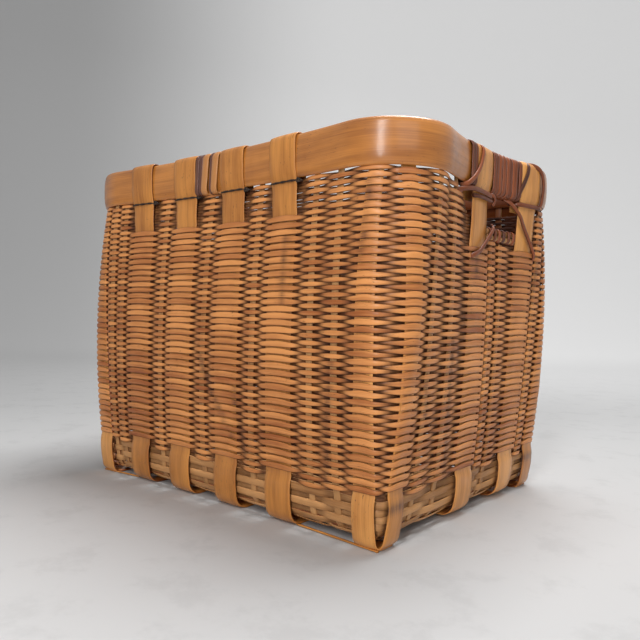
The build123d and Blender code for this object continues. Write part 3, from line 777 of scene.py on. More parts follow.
# %% Uprights in the order that a strand meets them
def uprights():
    """Each upright's side, place, half width, kind and exit, going round from the front."""
    found = []
    for side, turn in (("front", 1), ("right", 1), ("back", -1), ("left", -1)):
        row = []
        if side in ("front", "back"):
            row += [(x, SLAT_WIDTH / 2, "slat", CROSS_EXIT) for x in CROSS]
            row += [(x, STAKE_WIDTH / 2, "stake", RIM_TOP) for x in LONG_STAKES]
        else:
            row += [(y, SLAT_WIDTH / 2, "slat", END_EXIT) for y in ENDS]
            row += [(y, STAKE_WIDTH / 2, "stake", RIM_TOP) for y in SHORT_STAKES]
            row += [(y, STAKE_WIDTH / 2, "handle", RIM_TOP) for y in HANDLE_STAKES]
        row += [(sign, 0.0, "corner", RIM_TOP) for sign in (-999, 999)]
        row.sort(key=lambda entry: turn * entry[0])
        found += [(side, *entry) for entry in row]
    return found


UPRIGHTS = uprights()


def stops(z):
    """Start and end of every upright along the level at z."""
    here = level(z)
    places = []
    for side, place, half, kind, _ in UPRIGHTS:
        if kind == "corner":
            near, far = corner_edges(side, z)
            sign = 1 if place > 0 else -1
            edges = [here.place(side, sign * near), here.place(side, sign * far)]
        else:
            edges = [here.place(side, place * mm - half), here.place(side, place * mm + half)]
        places.append((min(edges), max(edges)))
    return places


print(len(UPRIGHTS), "uprights")

# %% [markdown]
# ## One row of the weave
#
# A row bulges outwards over one upright and inwards behind the next. Over a slat it covers a
# wide, slightly domed place, over a stake a short one, and it is slack there by a fraction of a
# millimetre. Dark nodes line up in strands that were cut from one culm, so a node drifts a
# little from row to row. On the short sides the rows stop at the hand hole. A strand's section
# is full on the outside and thin towards the inside, and its ends meet behind an upright.

# %% One row of the weave
BULGE = 2.2 * mm
UNDER = (0.9, 0.95)
OVER_WIDE = (1.5, 1.86)
OVER_STAKE = (1.4, 1.5)
MEETING = (1.06, 1.2)
# How much painted shade the edges and the inner side of a woven strand carry.
WEAVE_EDGE_SHADE = 0.9
STRAND_THICK = 1.8 * mm
WEAVE_START = 49.2 * mm
WEAVE_END = 353.4 * mm
FOOT_TOP = 54 * mm
TURNS = np.array((0.0, 0.12, 0.28, 0.5, 0.72, 0.88))


def row_targets(row, z, pitch):
    """Depth of the strand at every upright of a row, its height at the edge and the middle, and its arch."""
    targets = []
    for i, (_, _, _, kind, exit_z) in enumerate(UPRIGHTS):
        over = (i + row) % 2 == 0
        wide = kind in ("slat", "corner")
        hidden = (kind == "slat" and z > exit_z) or (wide and z < FOOT_TOP)
        if hidden or not over:
            targets.append((-BULGE, UNDER[0] * pitch, UNDER[1] * pitch, 0.0))
        elif wide:
            arch = random.uniform(0.4, 1.0) * mm
            targets.append((BULGE, OVER_WIDE[0] * pitch, OVER_WIDE[1] * pitch, arch))
        else:
            targets.append((BULGE, OVER_STAKE[0] * pitch, OVER_STAKE[1] * pitch, 0.0))
    return targets


def ease(t):
    """Smooth step of an array between 0 and 1."""
    t = np.clip(t, 0, 1)
    return t * t * (3 - 2 * t)


def row_line(row, z, pitch):
    """Runs, depths, heights and rises of a row all the way round."""
    places = stops(z)
    targets = row_targets(row, z, pitch)
    total = level(z).length
    meet = np.interp(z / mm, (320, 335), MEETING) * pitch
    line = []
    for i, ((start, end), (depth, edge, middle, arch)) in enumerate(zip(places, targets)):
        j = (i + 1) % len(places)
        following = places[j][0] + (total if j == 0 else 0)
        for t in np.linspace(-1, 1, 7 if end - start > 11 * mm else 3)[:-1]:
            dome = 1 - t * t
            full = edge + (middle - edge) * dome
            run = start + (end - start) * (t + 1) / 2
            line.append((run, depth + 0.2 * arch * dome, full, arch * dome))
        for t in TURNS:
            swing = (1 - math.cos(math.pi * t)) / 2
            near = ease((abs(1 - 2 * t) - 0.1) / 0.9)
            full = meet + ((edge if t < 0.5 else targets[j][1]) - meet) * near
            run = end + (following - end) * t
            line.append((run, depth + (targets[j][0] - depth) * swing, full, 0.0))
    return np.array(line).T


def joint_marks():
    """Nodes that line up in strands cut from one culm: first row, last row, run and drift."""
    marks = []
    for start in np.linspace(0, 1.7, 15):
        first = random.randrange(0, 70)
        last = first + random.randrange(8, 26)
        place = start + random.uniform(0, 0.11)
        marks.append((first, last, place, random.uniform(-0.8, 0.8)))
    marks += [(2, 34, 0.168, 0.3), (0, 40, 0.345, 0.2), (46, 64, 0.372, -0.4), (58, 76, 0.40, -0.3)]
    return marks


random.seed(10)
MARKS = joint_marks()
HOLE = (ENDS[0] * mm + 10 * mm, ENDS[1] * mm - 10 * mm)
SILL = 302 * mm
OPEN_HEIGHTS = (0.325, 0.333, 0.340, 0.345, 0.349)
OPEN_EDGES = (-0.037, -0.042, -0.050, -0.058, -0.074)


def gaps(z):
    """Runs that a row must leave open on the short sides."""
    here = level(z)
    closed_at = []
    for side in ("right", "left"):
        if z > SILL:
            low, high = HOLE
            if z > 325 * mm:
                low = np.interp(z, OPEN_HEIGHTS, OPEN_EDGES)
                low += random.uniform(-2, 3) * mm
            if z > 342 * mm:
                high = 117 * mm + random.uniform(-2, 3) * mm
            ends = sorted((here.place(side, low), here.place(side, high)))
            closed_at.append(ends)
    return closed_at


LENS = [(-0.5, -0.12), (-0.46, 0.22), (-0.3, 0.44), (0, 0.5), (0.3, 0.44), (0.46, 0.22), (0.5, -0.12)]
LENS += [(0.34, -0.42), (-0.34, -0.42)]


def lean_of(z, outs):
    """Slope of the wall outwards with height, for each outward direction."""
    above, below = plan_sizes(z + mm), plan_sizes(z - mm)
    slopes = [(above[i] - below[i]) / (2 * mm) for i in (0, 1)]
    return outs[:, 0] ** 2 * slopes[0] + outs[:, 1] ** 2 * slopes[1]


def lay(bm, row, z, runs, depths, heights, rises):
    """Lay one strand in the wall at height z."""
    wander = np.cumsum([random.uniform(-1, 1) for _ in runs]) * 0.02 * mm
    wander -= np.linspace(0, wander[-1], len(wander))
    points, outs = level(z).at(runs, MIDDLE + depths)
    slope = lean_of(z, outs)
    rise = (wander + rises) / np.sqrt(1 + slope**2)
    centres = np.column_stack([points + outs * (rise * slope)[:, None], z + rise])
    across = unit(np.column_stack([outs * slope[:, None], np.ones(len(outs))]))
    outward = square_to(np.gradient(centres, axis=0), np.column_stack([outs, -slope]))
    fullness = random.uniform(0.93, 1.05)
    # A strand's relief falls where it dips behind an upright, and the materials paint shade there.
    relief = np.clip(0.5 + depths / (2 * BULGE), 0, 1)
    joint = np.zeros(len(runs))
    for first, last, place, drift in MARKS:
        if first <= row < last:
            spot = place + drift * mm * (row - first) + random.uniform(-1.5, 1.5) * mm
            half_round = level(z).quarter * 2
            away = np.abs((runs - spot + half_round) % level(z).length - half_round)
            joint = np.maximum(joint, random.uniform(0.3, 1.0) * np.exp(-((away / (4.5 * mm)) ** 2)))
    sweep(bm, centres, across, outward, LENS, heights * fullness, STRAND_THICK,
          relief=relief, joint=joint, edge_shade=WEAVE_EDGE_SHADE)


def open_runs(z, length, behind):
    """Stretches of a row between its gaps, or between joints that lie behind uprights."""
    shut = sorted(gaps(z))
    if not shut:
        start = random.choice(behind)
        half = min(behind, key=lambda run: abs((run - start) % length - length / 2))
        half = start + (half - start) % length
        return [(start, half - 1 * mm), (half, start + length - 1 * mm)]
    return [(shut[0][1], shut[1][0]), (shut[1][1], shut[0][0] + length)]


def weave_row(bm, row, z, pitch):
    """One row, cut into its strands."""
    runs, depths, heights, rises = row_line(row, z, pitch)
    length = level(z).length
    behind = list(runs[depths < -0.99 * BULGE][1::4])
    runs = np.concatenate([runs, runs + length])
    depths, heights, rises = np.tile(depths, 2), np.tile(heights, 2), np.tile(rises, 2)
    for start, end in open_runs(z, length, behind):
        base = runs[0]
        shift = -length if start - base > length else 0
        start, end = start + shift, end + shift
        kept = (runs > start + 0.5 * mm) & (runs < end - 0.5 * mm)
        some = np.concatenate([[start], runs[kept], [end]])
        shape = [np.interp(some, runs, values) for values in (depths, heights, rises)]
        lay(bm, row, z, some, *shape)


def weave_heights():
    """Height and pitch of each row, a little closer under the rim than lower down."""
    z, rows = WEAVE_START, []
    while z < WEAVE_END:
        pitch = np.interp(z / mm, (150, 250, 350), (3.7, 3.55, 3.5)) * mm
        rows.append((z, pitch))
        z += pitch
    return rows


random.seed(14)
ROWS = weave_heights()
size = math.ceil(len(ROWS) / 5)
for band in range(5):
    bm = new_mesh()
    for row in range(band * size, min((band + 1) * size, len(ROWS))):
        weave_row(bm, row, *ROWS[row])
    finish_piece("weave_band_%d" % (band + 1), bm, WOVEN, "woven_bamboo", "upper_weave")
print(len(ROWS), "rows of weave")

# %% [markdown]
# ## The foot
#
# Below the fine weave the wall is closed with a few wide flat rows. They go in front of one
# narrow stake and behind the next, and pass behind the slats and corner stakes, which come down
# outside them and bend under the floor. The floor is woven of wide strips both ways.

# %% Wide flat rows at the foot
COARSE_SWING = 1.5 * mm
FOOT_BEND = 17 * mm
FOOT_CENTRE = 24.4 * mm
COARSE_PITCH = 6.75 * mm


def foot_line(run):
    """Height, offset and lean of the foot of the wall, at a run up from its lower edge."""
    angle = math.radians(28) + run / FOOT_BEND
    if angle < math.pi / 2:
        height = FOOT_CENTRE - FOOT_BEND * math.cos(angle)
        return height, -5 * mm - FOOT_BEND * (1 - math.sin(angle)), angle
    return FOOT_CENTRE + (angle - math.pi / 2) * FOOT_BEND, -5 * mm, math.pi / 2


def coarse_row(bm, row):
    """One flat row round the narrow stakes."""
    z, offset, angle = foot_line((row + 0.5) * COARSE_PITCH)
    here = level(z)
    narrow = [entry for entry in UPRIGHTS if entry[3] in ("stake", "handle")]
    runs, depths = [], []
    for i, (side, place, half, _, _) in enumerate(narrow):
        edges = sorted((here.place(side, place * mm - half), here.place(side, place * mm + half)))
        runs += [edges[0], sum(edges) / 2, edges[1]]
        depths += [COARSE_SWING if (i + row) % 2 == 0 else -COARSE_SWING] * 3
    runs, depths = np.array(runs), np.array(depths)
    steps = np.arange(runs[0], runs[0] + here.length - 3 * mm, 4 * mm)
    after = np.append(runs, runs[0] + here.length)
    both = np.append(depths, depths[0])
    spot = np.searchsorted(after, steps, side="right") - 1
    t = (steps - after[spot]) / (after[spot + 1] - after[spot])
    share = (1 - np.cos(math.pi * np.clip(t * 1.1 - 0.05, 0, 1))) / 2
    swing = both[spot] + (both[spot + 1] - both[spot]) * share
    points, outs = here.at(steps, offset + swing * math.sin(angle))
    centres = np.column_stack([points, z - swing * math.cos(angle)])
    across = np.column_stack([outs * math.cos(angle), np.full(len(outs), math.sin(angle))])
    outward = np.column_stack([outs * math.sin(angle), np.full(len(outs), -math.cos(angle))])
    section = flat_section(COARSE_PITCH + 0.5 * mm, 0.9 * mm, 0.5 * mm, 0.3 * mm, 4)
    # A row's relief falls where it passes behind a stake, and the material paints shade there.
    relief = np.clip(0.6 + swing / (2 * COARSE_SWING), 0, 1)
    sweep(bm, centres, across, outward, section, random.uniform(0.95, 1.0), relief=relief)


random.seed(15)
bm = new_mesh()
for row in range(-1, 6):
    coarse_row(bm, row)
finish_piece("coarse_rows", bm, COARSE, "coarse_bamboo", "lower_weave")

# %% [markdown]
# ## The floor
#
# The floor is a plain weave of wide strips both ways, so each strip is a straight line with a
# cosine wave, and neighbours wave against each other. An edge strip lies under each side, and a
# thin lath shows along the lower edge of the long sides, beside the corners.

# %% Woven floor and the strips under its edges
def straight(bm, start, end, section, out, wave=None):
    """Flat strip between two points, with an outward direction and an optional wave."""
    start, end = np.array(start, float), np.array(end, float)
    count = max(int(np.linalg.norm(end - start) / (3.5 * mm)), 2)
    centres = np.linspace(start, end, count)
    direction = (end - start) / np.linalg.norm(end - start)
    outward = np.tile(np.array(out, float), (count, 1))
    if wave is not None:
        centres = centres + outward * wave(centres @ np.abs(direction))[:, None]
    across = np.tile(np.cross(outward[0], direction), (count, 1))
    sweep(bm, centres, across, outward, section)


random.seed(16)
PITCH = 21.2 * mm
FLOOR_Z = 6.2 * mm
FLOOR_WAVE = 0.6 * mm
FLOOR_HALF = (198.6 * mm, 139 * mm)
strip_section = flat_section(19.6 * mm, 0.7 * mm, 0.12 * mm, 0.25 * mm, 4)
bm = new_mesh()
for j in range(-6, 7):
    y = j * PITCH
    straight(bm, (-FLOOR_HALF[0], y, FLOOR_Z), (FLOOR_HALF[0], y, FLOOR_Z), strip_section, (0, 0, 1),
             lambda x, j=j: FLOOR_WAVE * np.cos(math.pi * (x / PITCH + j)))
for i in range(-8, 9):
    x = i * PITCH
    straight(bm, (x, -FLOOR_HALF[1], FLOOR_Z), (x, FLOOR_HALF[1], FLOOR_Z), strip_section, (0, 0, 1),
             lambda y, i=i: -FLOOR_WAVE * np.cos(math.pi * (y / PITCH + i)))
finish_piece("woven_floor", bm, COARSE, "coarse_bamboo", "floor_weave")

runner_section = flat_section(15.6 * mm, 1.2 * mm, 0.3 * mm, 0.4 * mm, 4)
for name in ("front", "back", "left", "right"):
    low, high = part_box("runner_" + name)
    bm = new_mesh()
    height = (low.z + high.z) / 2
    if name in ("front", "back"):
        y = (low.y + high.y) / 2
        straight(bm, (low.x, y, height), (high.x, y, height), runner_section, (0, 0, -1))
    else:
        x = (low.x + high.x) / 2
        straight(bm, (x, low.y, height), (x, high.y, height), runner_section, (0, 0, -1))
    finish_piece("edge_strip_" + name, bm, CANE, "stake_bamboo", "runner_" + name)

lath_section = flat_section(2.8 * mm, 1.4 * mm, 0.2 * mm, 0.3 * mm, 4)
for name, sign in (("front", -1), ("back", 1)):
    bm = new_mesh()
    for start, corner in ((120.5, 226.0), (-156.0, -226.0)):
        inner = (start * mm, sign * 160.0 * mm, 1.6 * mm)
        straight(bm, inner, (corner * mm, sign * 167.0 * mm, 1.3 * mm), lath_section, (0, 0, -1))
    finish_piece("foot_lath_" + name, bm, SLAT, "stake_bamboo", "lower_weave")

# %% [markdown]
# ## The rim
#
# Two hoops of split culm grip the tops of the stakes. The outer one is wide and keeps the round
# bark side of the culm outwards, so its section is crowned. The slats loop over both, and a
# little daylight shows between each loop and the hoops.

# %% Rim hoops
def hoop(name, section, material, node):
    """Closed hoop round the mouth, from its section's (height, offset) points."""
    here = level(RIM_FOOT)
    steps = np.linspace(0, here.length, 361)[:-1]
    points, outs = here.at(steps)
    wave = 0.35 * mm * (np.sin(steps * 21) + np.sin(steps * 13 + 2))
    centres = np.column_stack([points, wave])
    outward = np.column_stack([outs, np.zeros(len(outs))])
    across = np.tile(UP, (len(outs), 1))
    bm = new_mesh()
    sweep(bm, centres, across, outward, [(z * mm, offset * mm) for z, offset in section], closed=True)
    finish_piece(name, bm, material, "rim_bamboo", node)


random.seed(17)
OUTER = [(355.1, 0.2), (355.9, 1.3), (358.5, 2.2), (363.5, 3.2), (370, 3.8), (378, 4.0), (386, 3.9)]
OUTER += [(392.5, 3.4), (396.6, 2.5), (398.6, 1.4), (399.4, 0.1), (399.2, -0.9), (355.5, -0.9)]
INNER = [(367.4, -6.2), (368.2, -5.6), (394, -5.6), (395, -6.2), (395, -8.2), (392, -8.9)]
INNER += [(382, -9.2), (371, -8.9), (368, -8.2)]
hoop("outer_hoop", OUTER, RIM, "outer_rim_hoop")
hoop("inner_hoop", INNER, RIM, "inner_rim_hoop")

# %% [markdown]
# ## Windings of cane
#
# Cane is wound round both hoops in three kinds of place: over the joint of the outer hoop on each
# long side, and as a handle and a short band on each short side. One turn is a strip carried
# round a rounded rectangle that shifts sideways by its own width, so the turns lie side by side.
# The turns of a handle differ in width and tone, as hand-split cane does.

# %% Windings of cane round both hoops
def rounded_loop(low, high, foot_z, head_z, radius, count=44):
    """Points (height, offset) evenly spaced round a rounded rectangle, from the outer foot up."""
    corners = ((high, foot_z, -90), (high, head_z, 0), (low, head_z, 90), (low, foot_z, 180))
    points = []
    for x, z, start in corners:
        cx = x - radius if x == high else x + radius
        cz = z - radius if z == head_z else z + radius
        for angle in np.linspace(start, start + 90, 6):
            turn = math.radians(angle)
            points.append((cz + radius * math.sin(turn), cx + radius * math.cos(turn)))
    points.append(points[0])
    points = np.array(points)
    run = distances(points)
    places = np.linspace(0, run[-1], count + 1)[:-1]
    return [tuple(np.interp(s, run, points[:, i]) for i in (0, 1)) for s in places]


def winding(bm, side, start, widths, thick, slack, tones=None):
    """Cane wound round the rim: one turn for each width, side by side from a start."""
    along = start + widths[0] / 2
    for turn_number, width in enumerate(widths):
        path, places = [], []
        sway = random.uniform(-slack, slack) * mm
        for i, (z, offset) in enumerate(RIM_LOOP + RIM_LOOP[:2]):
            turn = i / len(RIM_LOOP)
            path.append((z, offset))
            shift = width * (turn - 0.2) * 0.9
            places.append(along + shift + sway * math.sin(2 * math.pi * turn))
        section = round_section(width * 1.02, thick, 8)
        tone = tones[turn_number] if tones else random.uniform(0.3, 1.0)
        standing(bm, side, path, section, places, own=tone)
        along += width


def turn_widths(length, least, most):
    """Widths of turns, in metres, that fill a length."""
    widths = []
    while sum(widths) < length:
        widths.append(random.uniform(least, most))
    return [w * length / sum(widths) for w in widths]


RIM_LOOP = rounded_loop(-11.0 * mm, 5.6 * mm, 354.0 * mm, 400.2 * mm, 6 * mm)
JOINT_START = -40.0 * mm
JOINT_WIDTHS = [w * mm for w in (6.4, 6.4, 11.0, 5.4, 11.4)]
JOINT_TONES = (0.95, 0.85, 0.1, 0.9, 0.15)
HANDLE_START, HANDLE_LENGTH = 5.2 * mm, 63.6 * mm
BAND_START, BAND_LENGTH = -51.2 * mm, 14.6 * mm
random.seed(18)
for side in ("front", "back"):
    bm = new_mesh()
    winding(bm, side, JOINT_START, JOINT_WIDTHS, 2.8 * mm, 0.4, JOINT_TONES)
    finish_piece("joint_winding_" + side, bm, WRAP, "cane", "rim_joint_wrap_" + side)
for side in ("right", "left"):
    bm = new_mesh()
    winding(bm, side, HANDLE_START, turn_widths(HANDLE_LENGTH, 5.6 * mm, 9.4 * mm), 2.8 * mm, 0.9)
    winding(bm, side, BAND_START, turn_widths(BAND_LENGTH, 7.0 * mm, 7.6 * mm), 2.6 * mm, 0.6)
    finish_piece("handle_winding_" + side, bm, CANE, "cane", "handle_wrap_" + side)

# %% [markdown]
# ## Hand holes and ties
#
# Under each handle the narrow stakes are bent over into a roll along the sill of the hand hole,
# and cane is wound round it. Longer canes run slantwise over the end slats and down across
# the weave, and iron wire twisted at one side draws each long slat in under the rim.

# %% Roll on the sill of a hand hole
SILL_START, SILL_END = 5.9 * mm, 68.1 * mm
BENT_STAKES = ((306.6, -2.4, 6.6), (306.2, -5.2, 6.0), (313.2, -3.6, 7.2))
SILL_LOOP = rounded_loop(-8.3 * mm, 1.0 * mm, 303.2 * mm, 317.0 * mm, 4.2 * mm, 28)
SILL_TURNS = 6


def sill_roll(side):
    """Three bent stakes side by side, and the cane round them."""
    bm = new_mesh()
    for z, offset, size in BENT_STAKES:
        places = np.arange(SILL_START, SILL_END, 3 * mm)
        centres = np.array([wall_point(side, place, z * mm, offset * mm)[0] for place in places])
        tangent = unit(np.gradient(centres, axis=0))
        upward = np.tile(UP, (len(centres), 1))
        section = round_section(size * 0.9 * mm, size * mm, 10)
        sweep(bm, centres, np.cross(tangent, upward), upward, section)
    finish_piece("sill_roll_" + side, bm, STAKE, "stake_bamboo", "handle_border_" + side)

    bm = new_mesh()
    count = len(SILL_LOOP)
    for i in range(SILL_TURNS):
        middle = SILL_START + (SILL_END - SILL_START) * (i + 0.5) / SILL_TURNS + random.uniform(-1, 1) * mm
        width = random.uniform(4.6, 6.4) * mm
        places = [middle + (j / count - 0.5) * 5.5 * mm for j in range(count + 2)]
        standing(bm, side, SILL_LOOP + SILL_LOOP[:2], round_section(width, 2.2 * mm, 8), places)
    finish_piece("sill_winding_" + side, bm, CANE, "cane", "border_wrap_" + side)


random.seed(19)
for side in ("right", "left"):
    sill_roll(side)

# %% [markdown]
# ## Canes that tie the end slats
#
# Round canes tie the end slats under the rim, and longer ones come down from the rim beside the
# handle and are tucked into the weave. Each is typed as points along the side, up, and out from
# the wall, in millimetres, and laid flat on the wall. Where a cane dives behind the rim it
# points straight out of the wall, so its flat side turns to the vertical there instead.

# %% Canes that cross the end slats
def drape(bm, side, points, section, step=2 * mm):
    """Cane through (along, height, offset) points in millimetres, flat on the wall."""
    fine = smooth_path(np.array(points, float) * mm, step)
    centres, outs = [], []
    for along, z, offset in fine:
        point, _, out = wall_point(side, along, z, offset)
        point[2] = z
        centres.append(point)
        outs.append(out)
    centres, outward = np.array(centres), np.array(outs)
    tangent = unit(np.gradient(centres, axis=0))
    outward -= tangent * np.sum(outward * tangent, 1)[:, None]
    steep = np.linalg.norm(outward, axis=1)[:, None] < 0.2
    outward = np.where(steep, UP, outward)
    outward -= tangent * np.sum(outward * tangent, 1)[:, None]
    outward = unit(outward)
    sweep(bm, centres, np.cross(tangent, outward), outward, section)


CANE_SECTION = round_section(5.2 * mm, 3.0 * mm, 10)
THIN_SECTION = round_section(4.4 * mm, 2.8 * mm, 10)
STOUT_SECTION = round_section(5.6 * mm, 3.0 * mm, 10)
LONG_SECTION = round_section(5.2 * mm, 3.4 * mm, 10)

END_TIES = (
    (CANE_SECTION, ((-72, 346, -6), (-66, 347.4, 0), (-56, 349.6, 3.4), (-46, 351, 5.0),
                    (-34, 351.4, 5.8), (-20, 351.2, 5.8), (-6, 350.4, 5.6), (3, 349.6, 4.6),
                    (7.4, 349.2, 1.6), (8.2, 349, -4), (6, 349.5, -12.6))),
    (THIN_SECTION, ((-36, 345.6, 1.2), (-26, 346, 4.2), (-10, 345.6, 4.6), (2, 345.4, 4.2),
                    (7, 347, 3.6), (9.4, 350, 2.6), (8.8, 352.6, 0))),
    (THIN_SECTION, ((2.4, 352.6, 3.6), (5.4, 350.6, 6.2), (9.6, 347, 5.8), (10.4, 343.6, 4.0),
                    (8.4, 340.6, 3.0))),
    (CANE_SECTION, ((64, 350.6, -8), (64.6, 350.2, 0), (68, 350.2, 4.6), (77, 350.0, 5.6),
                    (88, 350, 5.8), (100, 350, 5.4), (108.5, 350, 4.2), (112.4, 350, 0),
                    (112.0, 350.4, -8), (106, 350.6, -13))),
)
CROSSING_CANES = (
    (STOUT_SECTION, ((-23, 399.6, -5), (-23.4, 400.1, 1.2), (-24.4, 397, 6.4), (-26, 391, 8.0),
                     (-29.4, 383, 8.2), (-34, 375, 8.2), (-41, 367, 7.6), (-49, 360, 6.2),
                     (-57, 354.4, 3.6), (-61, 352, -3))),
    (STOUT_SECTION, ((84, 399.6, -5), (83.6, 400.1, 1.2), (82, 396, 6.6), (79, 388, 7.9),
                     (75, 380, 7.9), (70.4, 372, 7.4), (66, 364, 6.2), (63, 357, 4.2),
                     (62, 352.4, -3))),
    (STOUT_SECTION, ((88, 399.6, -5), (92, 400.1, 1.2), (99, 397.9, 5.4), (106, 393.6, 7.0),
                     (110, 385, 7.4), (111.4, 374, 7.2), (112, 363, 5.6), (112.4, 354, 3.4),
                     (112.4, 350, -2))),
    (LONG_SECTION, ((44, 354, -3), (48, 349.6, 3.6), (56, 343, 6.4), (66, 335, 7.2),
                    (76, 327.5, 4.6), (86, 319, 2.8), (95, 310, 2.2), (102, 302, 1.8),
                    (108, 295, 1.2), (111, 290, -1.6), (113, 286, -6))),
    (LONG_SECTION, ((14, 320, -1), (11.6, 317, 2.6), (6, 311, 3.4), (-1, 304, 2.6),
                    (-8, 297.6, 2.2), (-19, 289, 1.8), (-28, 285.4, 1.4), (-34, 283, 0),
                    (-37, 281.6, -4))),
)


def draped_canes(name, side, canes, node):
    """Several draped canes of one side as one piece."""
    bm = new_mesh()
    for section, points in canes:
        drape(bm, side, points, section)
    finish_piece(name + "_" + side, bm, CANE, "cane", node + "_" + side)


random.seed(20)
for side in ("right", "left"):
    draped_canes("end_ties", side, END_TIES, "slat_ties")
    draped_canes("crossing_canes", side, CROSSING_CANES, "lashings")

# %% [markdown]
# ## Iron wire under the rim
#
# Two strands of wire twisted together lie across each long slat just under the rim. Their ends
# are twisted into a small knot at one edge of the slat, with a short tail. The knot is a circle
# that wobbles in size and depth, which looks like a tangle and stays a single strip.

# %% Twisted iron wire under the rim
WIRE_LINE = ((-21, -9), (-20.6, -1), (-19.3, 1.6), (-14, 3.3), (-7, 3.7), (0, 3.8), (7, 3.7), (14, 3.3),
             (19.3, 1.6), (21, -1), (21, -9))
WIRE_Z = 352.9
WIRE_TWIST = 0.55


def wire_tie(bm, side, x):
    """Two strands of wire across one slat, twisted into a knot with a short tail."""
    section = round_section(1.5 * mm, 1.5 * mm, 6)
    height = WIRE_Z + random.uniform(-0.6, 0.6)
    for strand in (0, 1):
        points = []
        for i, (along, offset) in enumerate(WIRE_LINE):
            turn = i * 1.9 + strand * math.pi
            up, out = WIRE_TWIST * math.cos(turn), WIRE_TWIST * math.sin(turn)
            points.append((x + along, height + up, offset + out))
        drape(bm, side, points, section, 1.2 * mm)
    knot = []
    for i in range(26):
        turn = i * 1.35
        size = 1.9 + 0.5 * math.sin(i * 2.3)
        along, up = size * math.cos(turn) * 0.9, size * math.sin(turn)
        knot.append((x + 21 + along, 352.6 + up, 1.0 + 1.4 * math.sin(i * 0.9)))
    drape(bm, side, knot, section, 0.8 * mm)
    tail = [(x + 22, 351.6, 1.6), (x + 24, 350.4, 2.4), (x + 25.4, 351.2, 2.2), (x + 26.6, 352.6, 1.8)]
    drape(bm, side, tail, section, 1 * mm)


random.seed(21)
for side in ("front", "back"):
    bm = new_mesh()
    for x in CROSS:
        wire_tie(bm, side, x)
    finish_piece("twisted_wire_" + side, bm, IRON, "iron_wire", "wire_ties_" + side)

# %% [markdown]
# ## The studio
#
# A basket like this is seen from a corner, a little below its middle and from quite near, so its
# near corner leans forward. The camera is placed by its heading, tilt and roll.

# %% Camera
CAMERA_PLACE = Vector((0.5584, -0.6524, 0.2172))
CAMERA_TURN = (-0.698, -0.008, 0.020)


def place_camera():
    """Camera at the basket's near corner, a little below its middle."""
    yaw, pitch, roll = CAMERA_TURN
    ahead = Vector((math.sin(-yaw) * -math.cos(pitch), math.cos(yaw) * math.cos(pitch), math.sin(pitch)))
    right = ahead.cross(Vector((0, 0, 1))).normalized()
    above = right.cross(ahead)
    level_right = math.cos(roll) * right + math.sin(roll) * above
    level_above = -math.sin(roll) * right + math.cos(roll) * above
    data = bpy.data.cameras.new("camera")
    data.sensor_width = 36
    data.lens = 36 * 641.7 / 640
    camera = bpy.data.objects.new("camera", data)
    turn = Matrix((level_right, level_above, -ahead)).transposed().to_4x4()
    camera.matrix_world = Matrix.Translation(CAMERA_PLACE) @ turn
    bpy.context.collection.objects.link(camera)
    bpy.context.scene.camera = camera
    return ahead


AHEAD = place_camera()
print("camera looks along", [round(c, 3) for c in AHEAD])

# %% [markdown]
# ## Paper, lamps and world
#
# The basket stands on a pale grey sweep of paper that rises behind it. The paper carries a glow
# of its own that shows to the camera and in reflections, and lights nothing by itself. The glow
# is fixed to the paper: it grows with the distance from the basket and up the wall, and from the
# left to the right. Both are divided by that distance plus a fixed reach, so it fades in evenly.
#
# A tall narrow lamp at the left of the camera lights both sides and puts a bright streak on the
# round corner of the rim. A weak broad one at the right fills the short side. A broad one
# overhead lights the floor and leaves a dark shadow under the swelling sides.

# %% Sweep of paper, lamps and world
FLAT = Vector((AHEAD.x, AHEAD.y, 0)).normalized()
ASIDE = FLAT.cross(Vector((0, 0, 1)))
GLOW_REACH = 0.86
GLOW_HEIGHT = 0.217
GLOW_RISE = (-0.148, -0.048)
GLOW_ACROSS = (-0.39, 0.05)
GLOW_STRENGTH = (0.19, 0.52)
PAPER_HALF, PAPER_FLAT, PAPER_BEND, PAPER_TOP = 6.0, 2.0, 1.5, 5.0
PAPER_SCUFFED = (0.54, 0.54, 0.54, 1)
PAPER_CLEAN = (0.58, 0.58, 0.58, 1)


def measured(tree, place, direction):
    """Distance of a place along a direction."""
    return vector_node(tree, "DOT_PRODUCT", place, direction)["Value"]


def lit_rays(tree):
    """1 for rays that show the background: from the camera, and by a reflection or through glass."""
    seen = tree.nodes.new("ShaderNodeLightPath").outputs
    rays = math_node(tree, "MAXIMUM", seen["Is Camera Ray"], seen["Is Transmission Ray"])
    return math_node(tree, "MAXIMUM", rays, seen["Is Glossy Ray"])


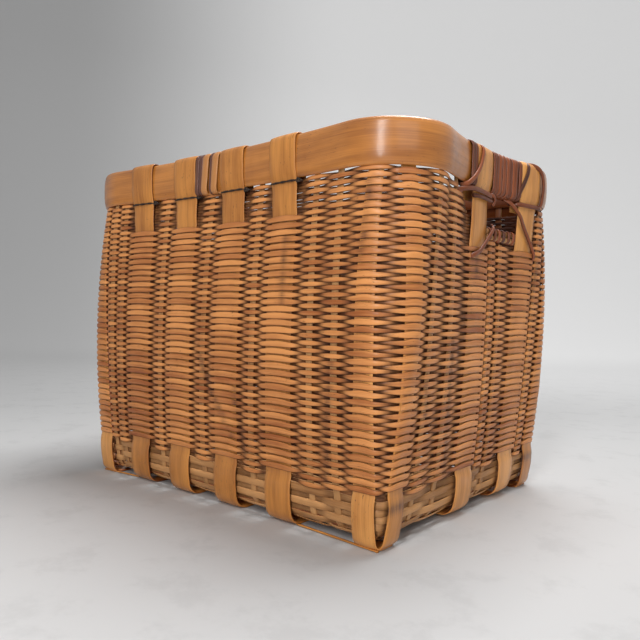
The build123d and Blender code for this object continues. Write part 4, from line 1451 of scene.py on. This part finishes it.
def paper():
    """Pale grey paper, with a glow that grows away from the basket, upwards and to the right."""
    material, tree, shader = new_material("grey paper")
    place = tree.nodes.new("ShaderNodeTexCoord").outputs["Object"]
    aside = measured(tree, place, ASIDE)
    flat_place = stretch(tree, measured(tree, place, FLAT), math_node(tree, "MULTIPLY", aside, 0.5), 0.0)
    reach = math_node(tree, "ADD", vector_node(tree, "LENGTH", flat_place)["Value"], GLOW_REACH)
    height = math_node(tree, "SUBTRACT", measured(tree, place, (0, 0, 1)), GLOW_HEIGHT)
    wall = spread(tree, math_node(tree, "DIVIDE", height, reach), *GLOW_RISE)
    across = math_node(tree, "DIVIDE", aside, reach)
    scuffs = spread(tree, noise(tree, place, 14.0, 6.0, 0.7), 0.35, 0.5)
    scuffs = math_node(tree, "MAXIMUM", scuffs, wall)
    colour = mix(tree, scuffs, PAPER_SCUFFED, PAPER_CLEAN)
    tree.links.new(colour, shader.inputs["Base Color"])
    shader.inputs["Roughness"].default_value = 0.9
    shader.inputs["Specular IOR Level"].default_value = 0.1
    glow = math_node(tree, "MULTIPLY", wall, spread(tree, across, *GLOW_ACROSS, *GLOW_STRENGTH))
    strength = math_node(tree, "MULTIPLY", lit_rays(tree), glow)
    shader.inputs["Emission Color"].default_value = (1, 1, 1, 1)
    tree.links.new(strength, shader.inputs["Emission Strength"])
    return material


def sweep_of_paper():
    """Floor and wall in one bent sheet, square to the camera."""
    bm = bmesh.new()
    profile = [(-PAPER_HALF, 0.0), (PAPER_FLAT, 0.0)]
    for i in range(1, 17):
        turn = math.pi / 2 * i / 16
        run = PAPER_FLAT + PAPER_BEND * math.sin(turn)
        profile.append((run, PAPER_BEND - PAPER_BEND * math.cos(turn)))
    profile.append((PAPER_FLAT + PAPER_BEND, PAPER_TOP))
    line = [bm.verts.new(FLAT * run - ASIDE * PAPER_HALF + Vector((0, 0, rise))) for run, rise in profile]
    edges = [bm.edges.new(pair) for pair in zip(line, line[1:])]
    made = bmesh.ops.extrude_edge_only(bm, edges=edges)["geom"]
    moved = [v for v in made if isinstance(v, bmesh.types.BMVert)]
    bmesh.ops.translate(bm, verts=moved, vec=ASIDE * 2 * PAPER_HALF)
    bmesh.ops.recalc_face_normals(bm, faces=bm.faces)
    if sum(f.normal.z for f in bm.faces) < 0:
        bmesh.ops.reverse_faces(bm, faces=bm.faces)
    smooth_object("paper", bm, paper())


def lamp(name, place, aim, width, height, power):
    """Oblong area lamp that faces a point."""
    data = bpy.data.lights.new(name, "AREA")
    data.shape = "RECTANGLE"
    data.size = width
    data.size_y = height
    data.energy = power
    lamp_object = bpy.data.objects.new(name, data)
    lamp_object.location = place
    lamp_object.rotation_euler = (Vector(aim) - Vector(place)).to_track_quat("-Z", "Y").to_euler()
    bpy.context.collection.objects.link(lamp_object)


LAMPS = (
    ("key", (0.66, -1.44, 0.92), (0.2, -0.1, 0.3), 0.24, 1.5, 15),
    ("side", (1.5, -0.75, 1.0), (0.2, -0.05, 0.25), 1.0, 1.0, 4.6),
    ("top", (0.2, 0.5, 2.2), (0.15, 0.05, 0), 1.1, 1.1, 48),
)
WORLD_GREY = (0.8, 0.8, 0.8, 1)
WORLD_LIGHT = 0.12
WORLD_SEEN = 0.55

sweep_of_paper()
for entry in LAMPS:
    lamp(*entry)
world = bpy.data.worlds.new("studio")
world.use_nodes = True
background = world.node_tree.nodes["Background"]
strength = math_node(world.node_tree, "MULTIPLY_ADD", lit_rays(world.node_tree), WORLD_SEEN, WORLD_LIGHT)
feed(world.node_tree, (background.inputs["Color"], background.inputs["Strength"]), (WORLD_GREY, strength))
bpy.context.scene.world = world
bpy.context.scene.view_settings.view_transform = "Standard"
print("studio set")
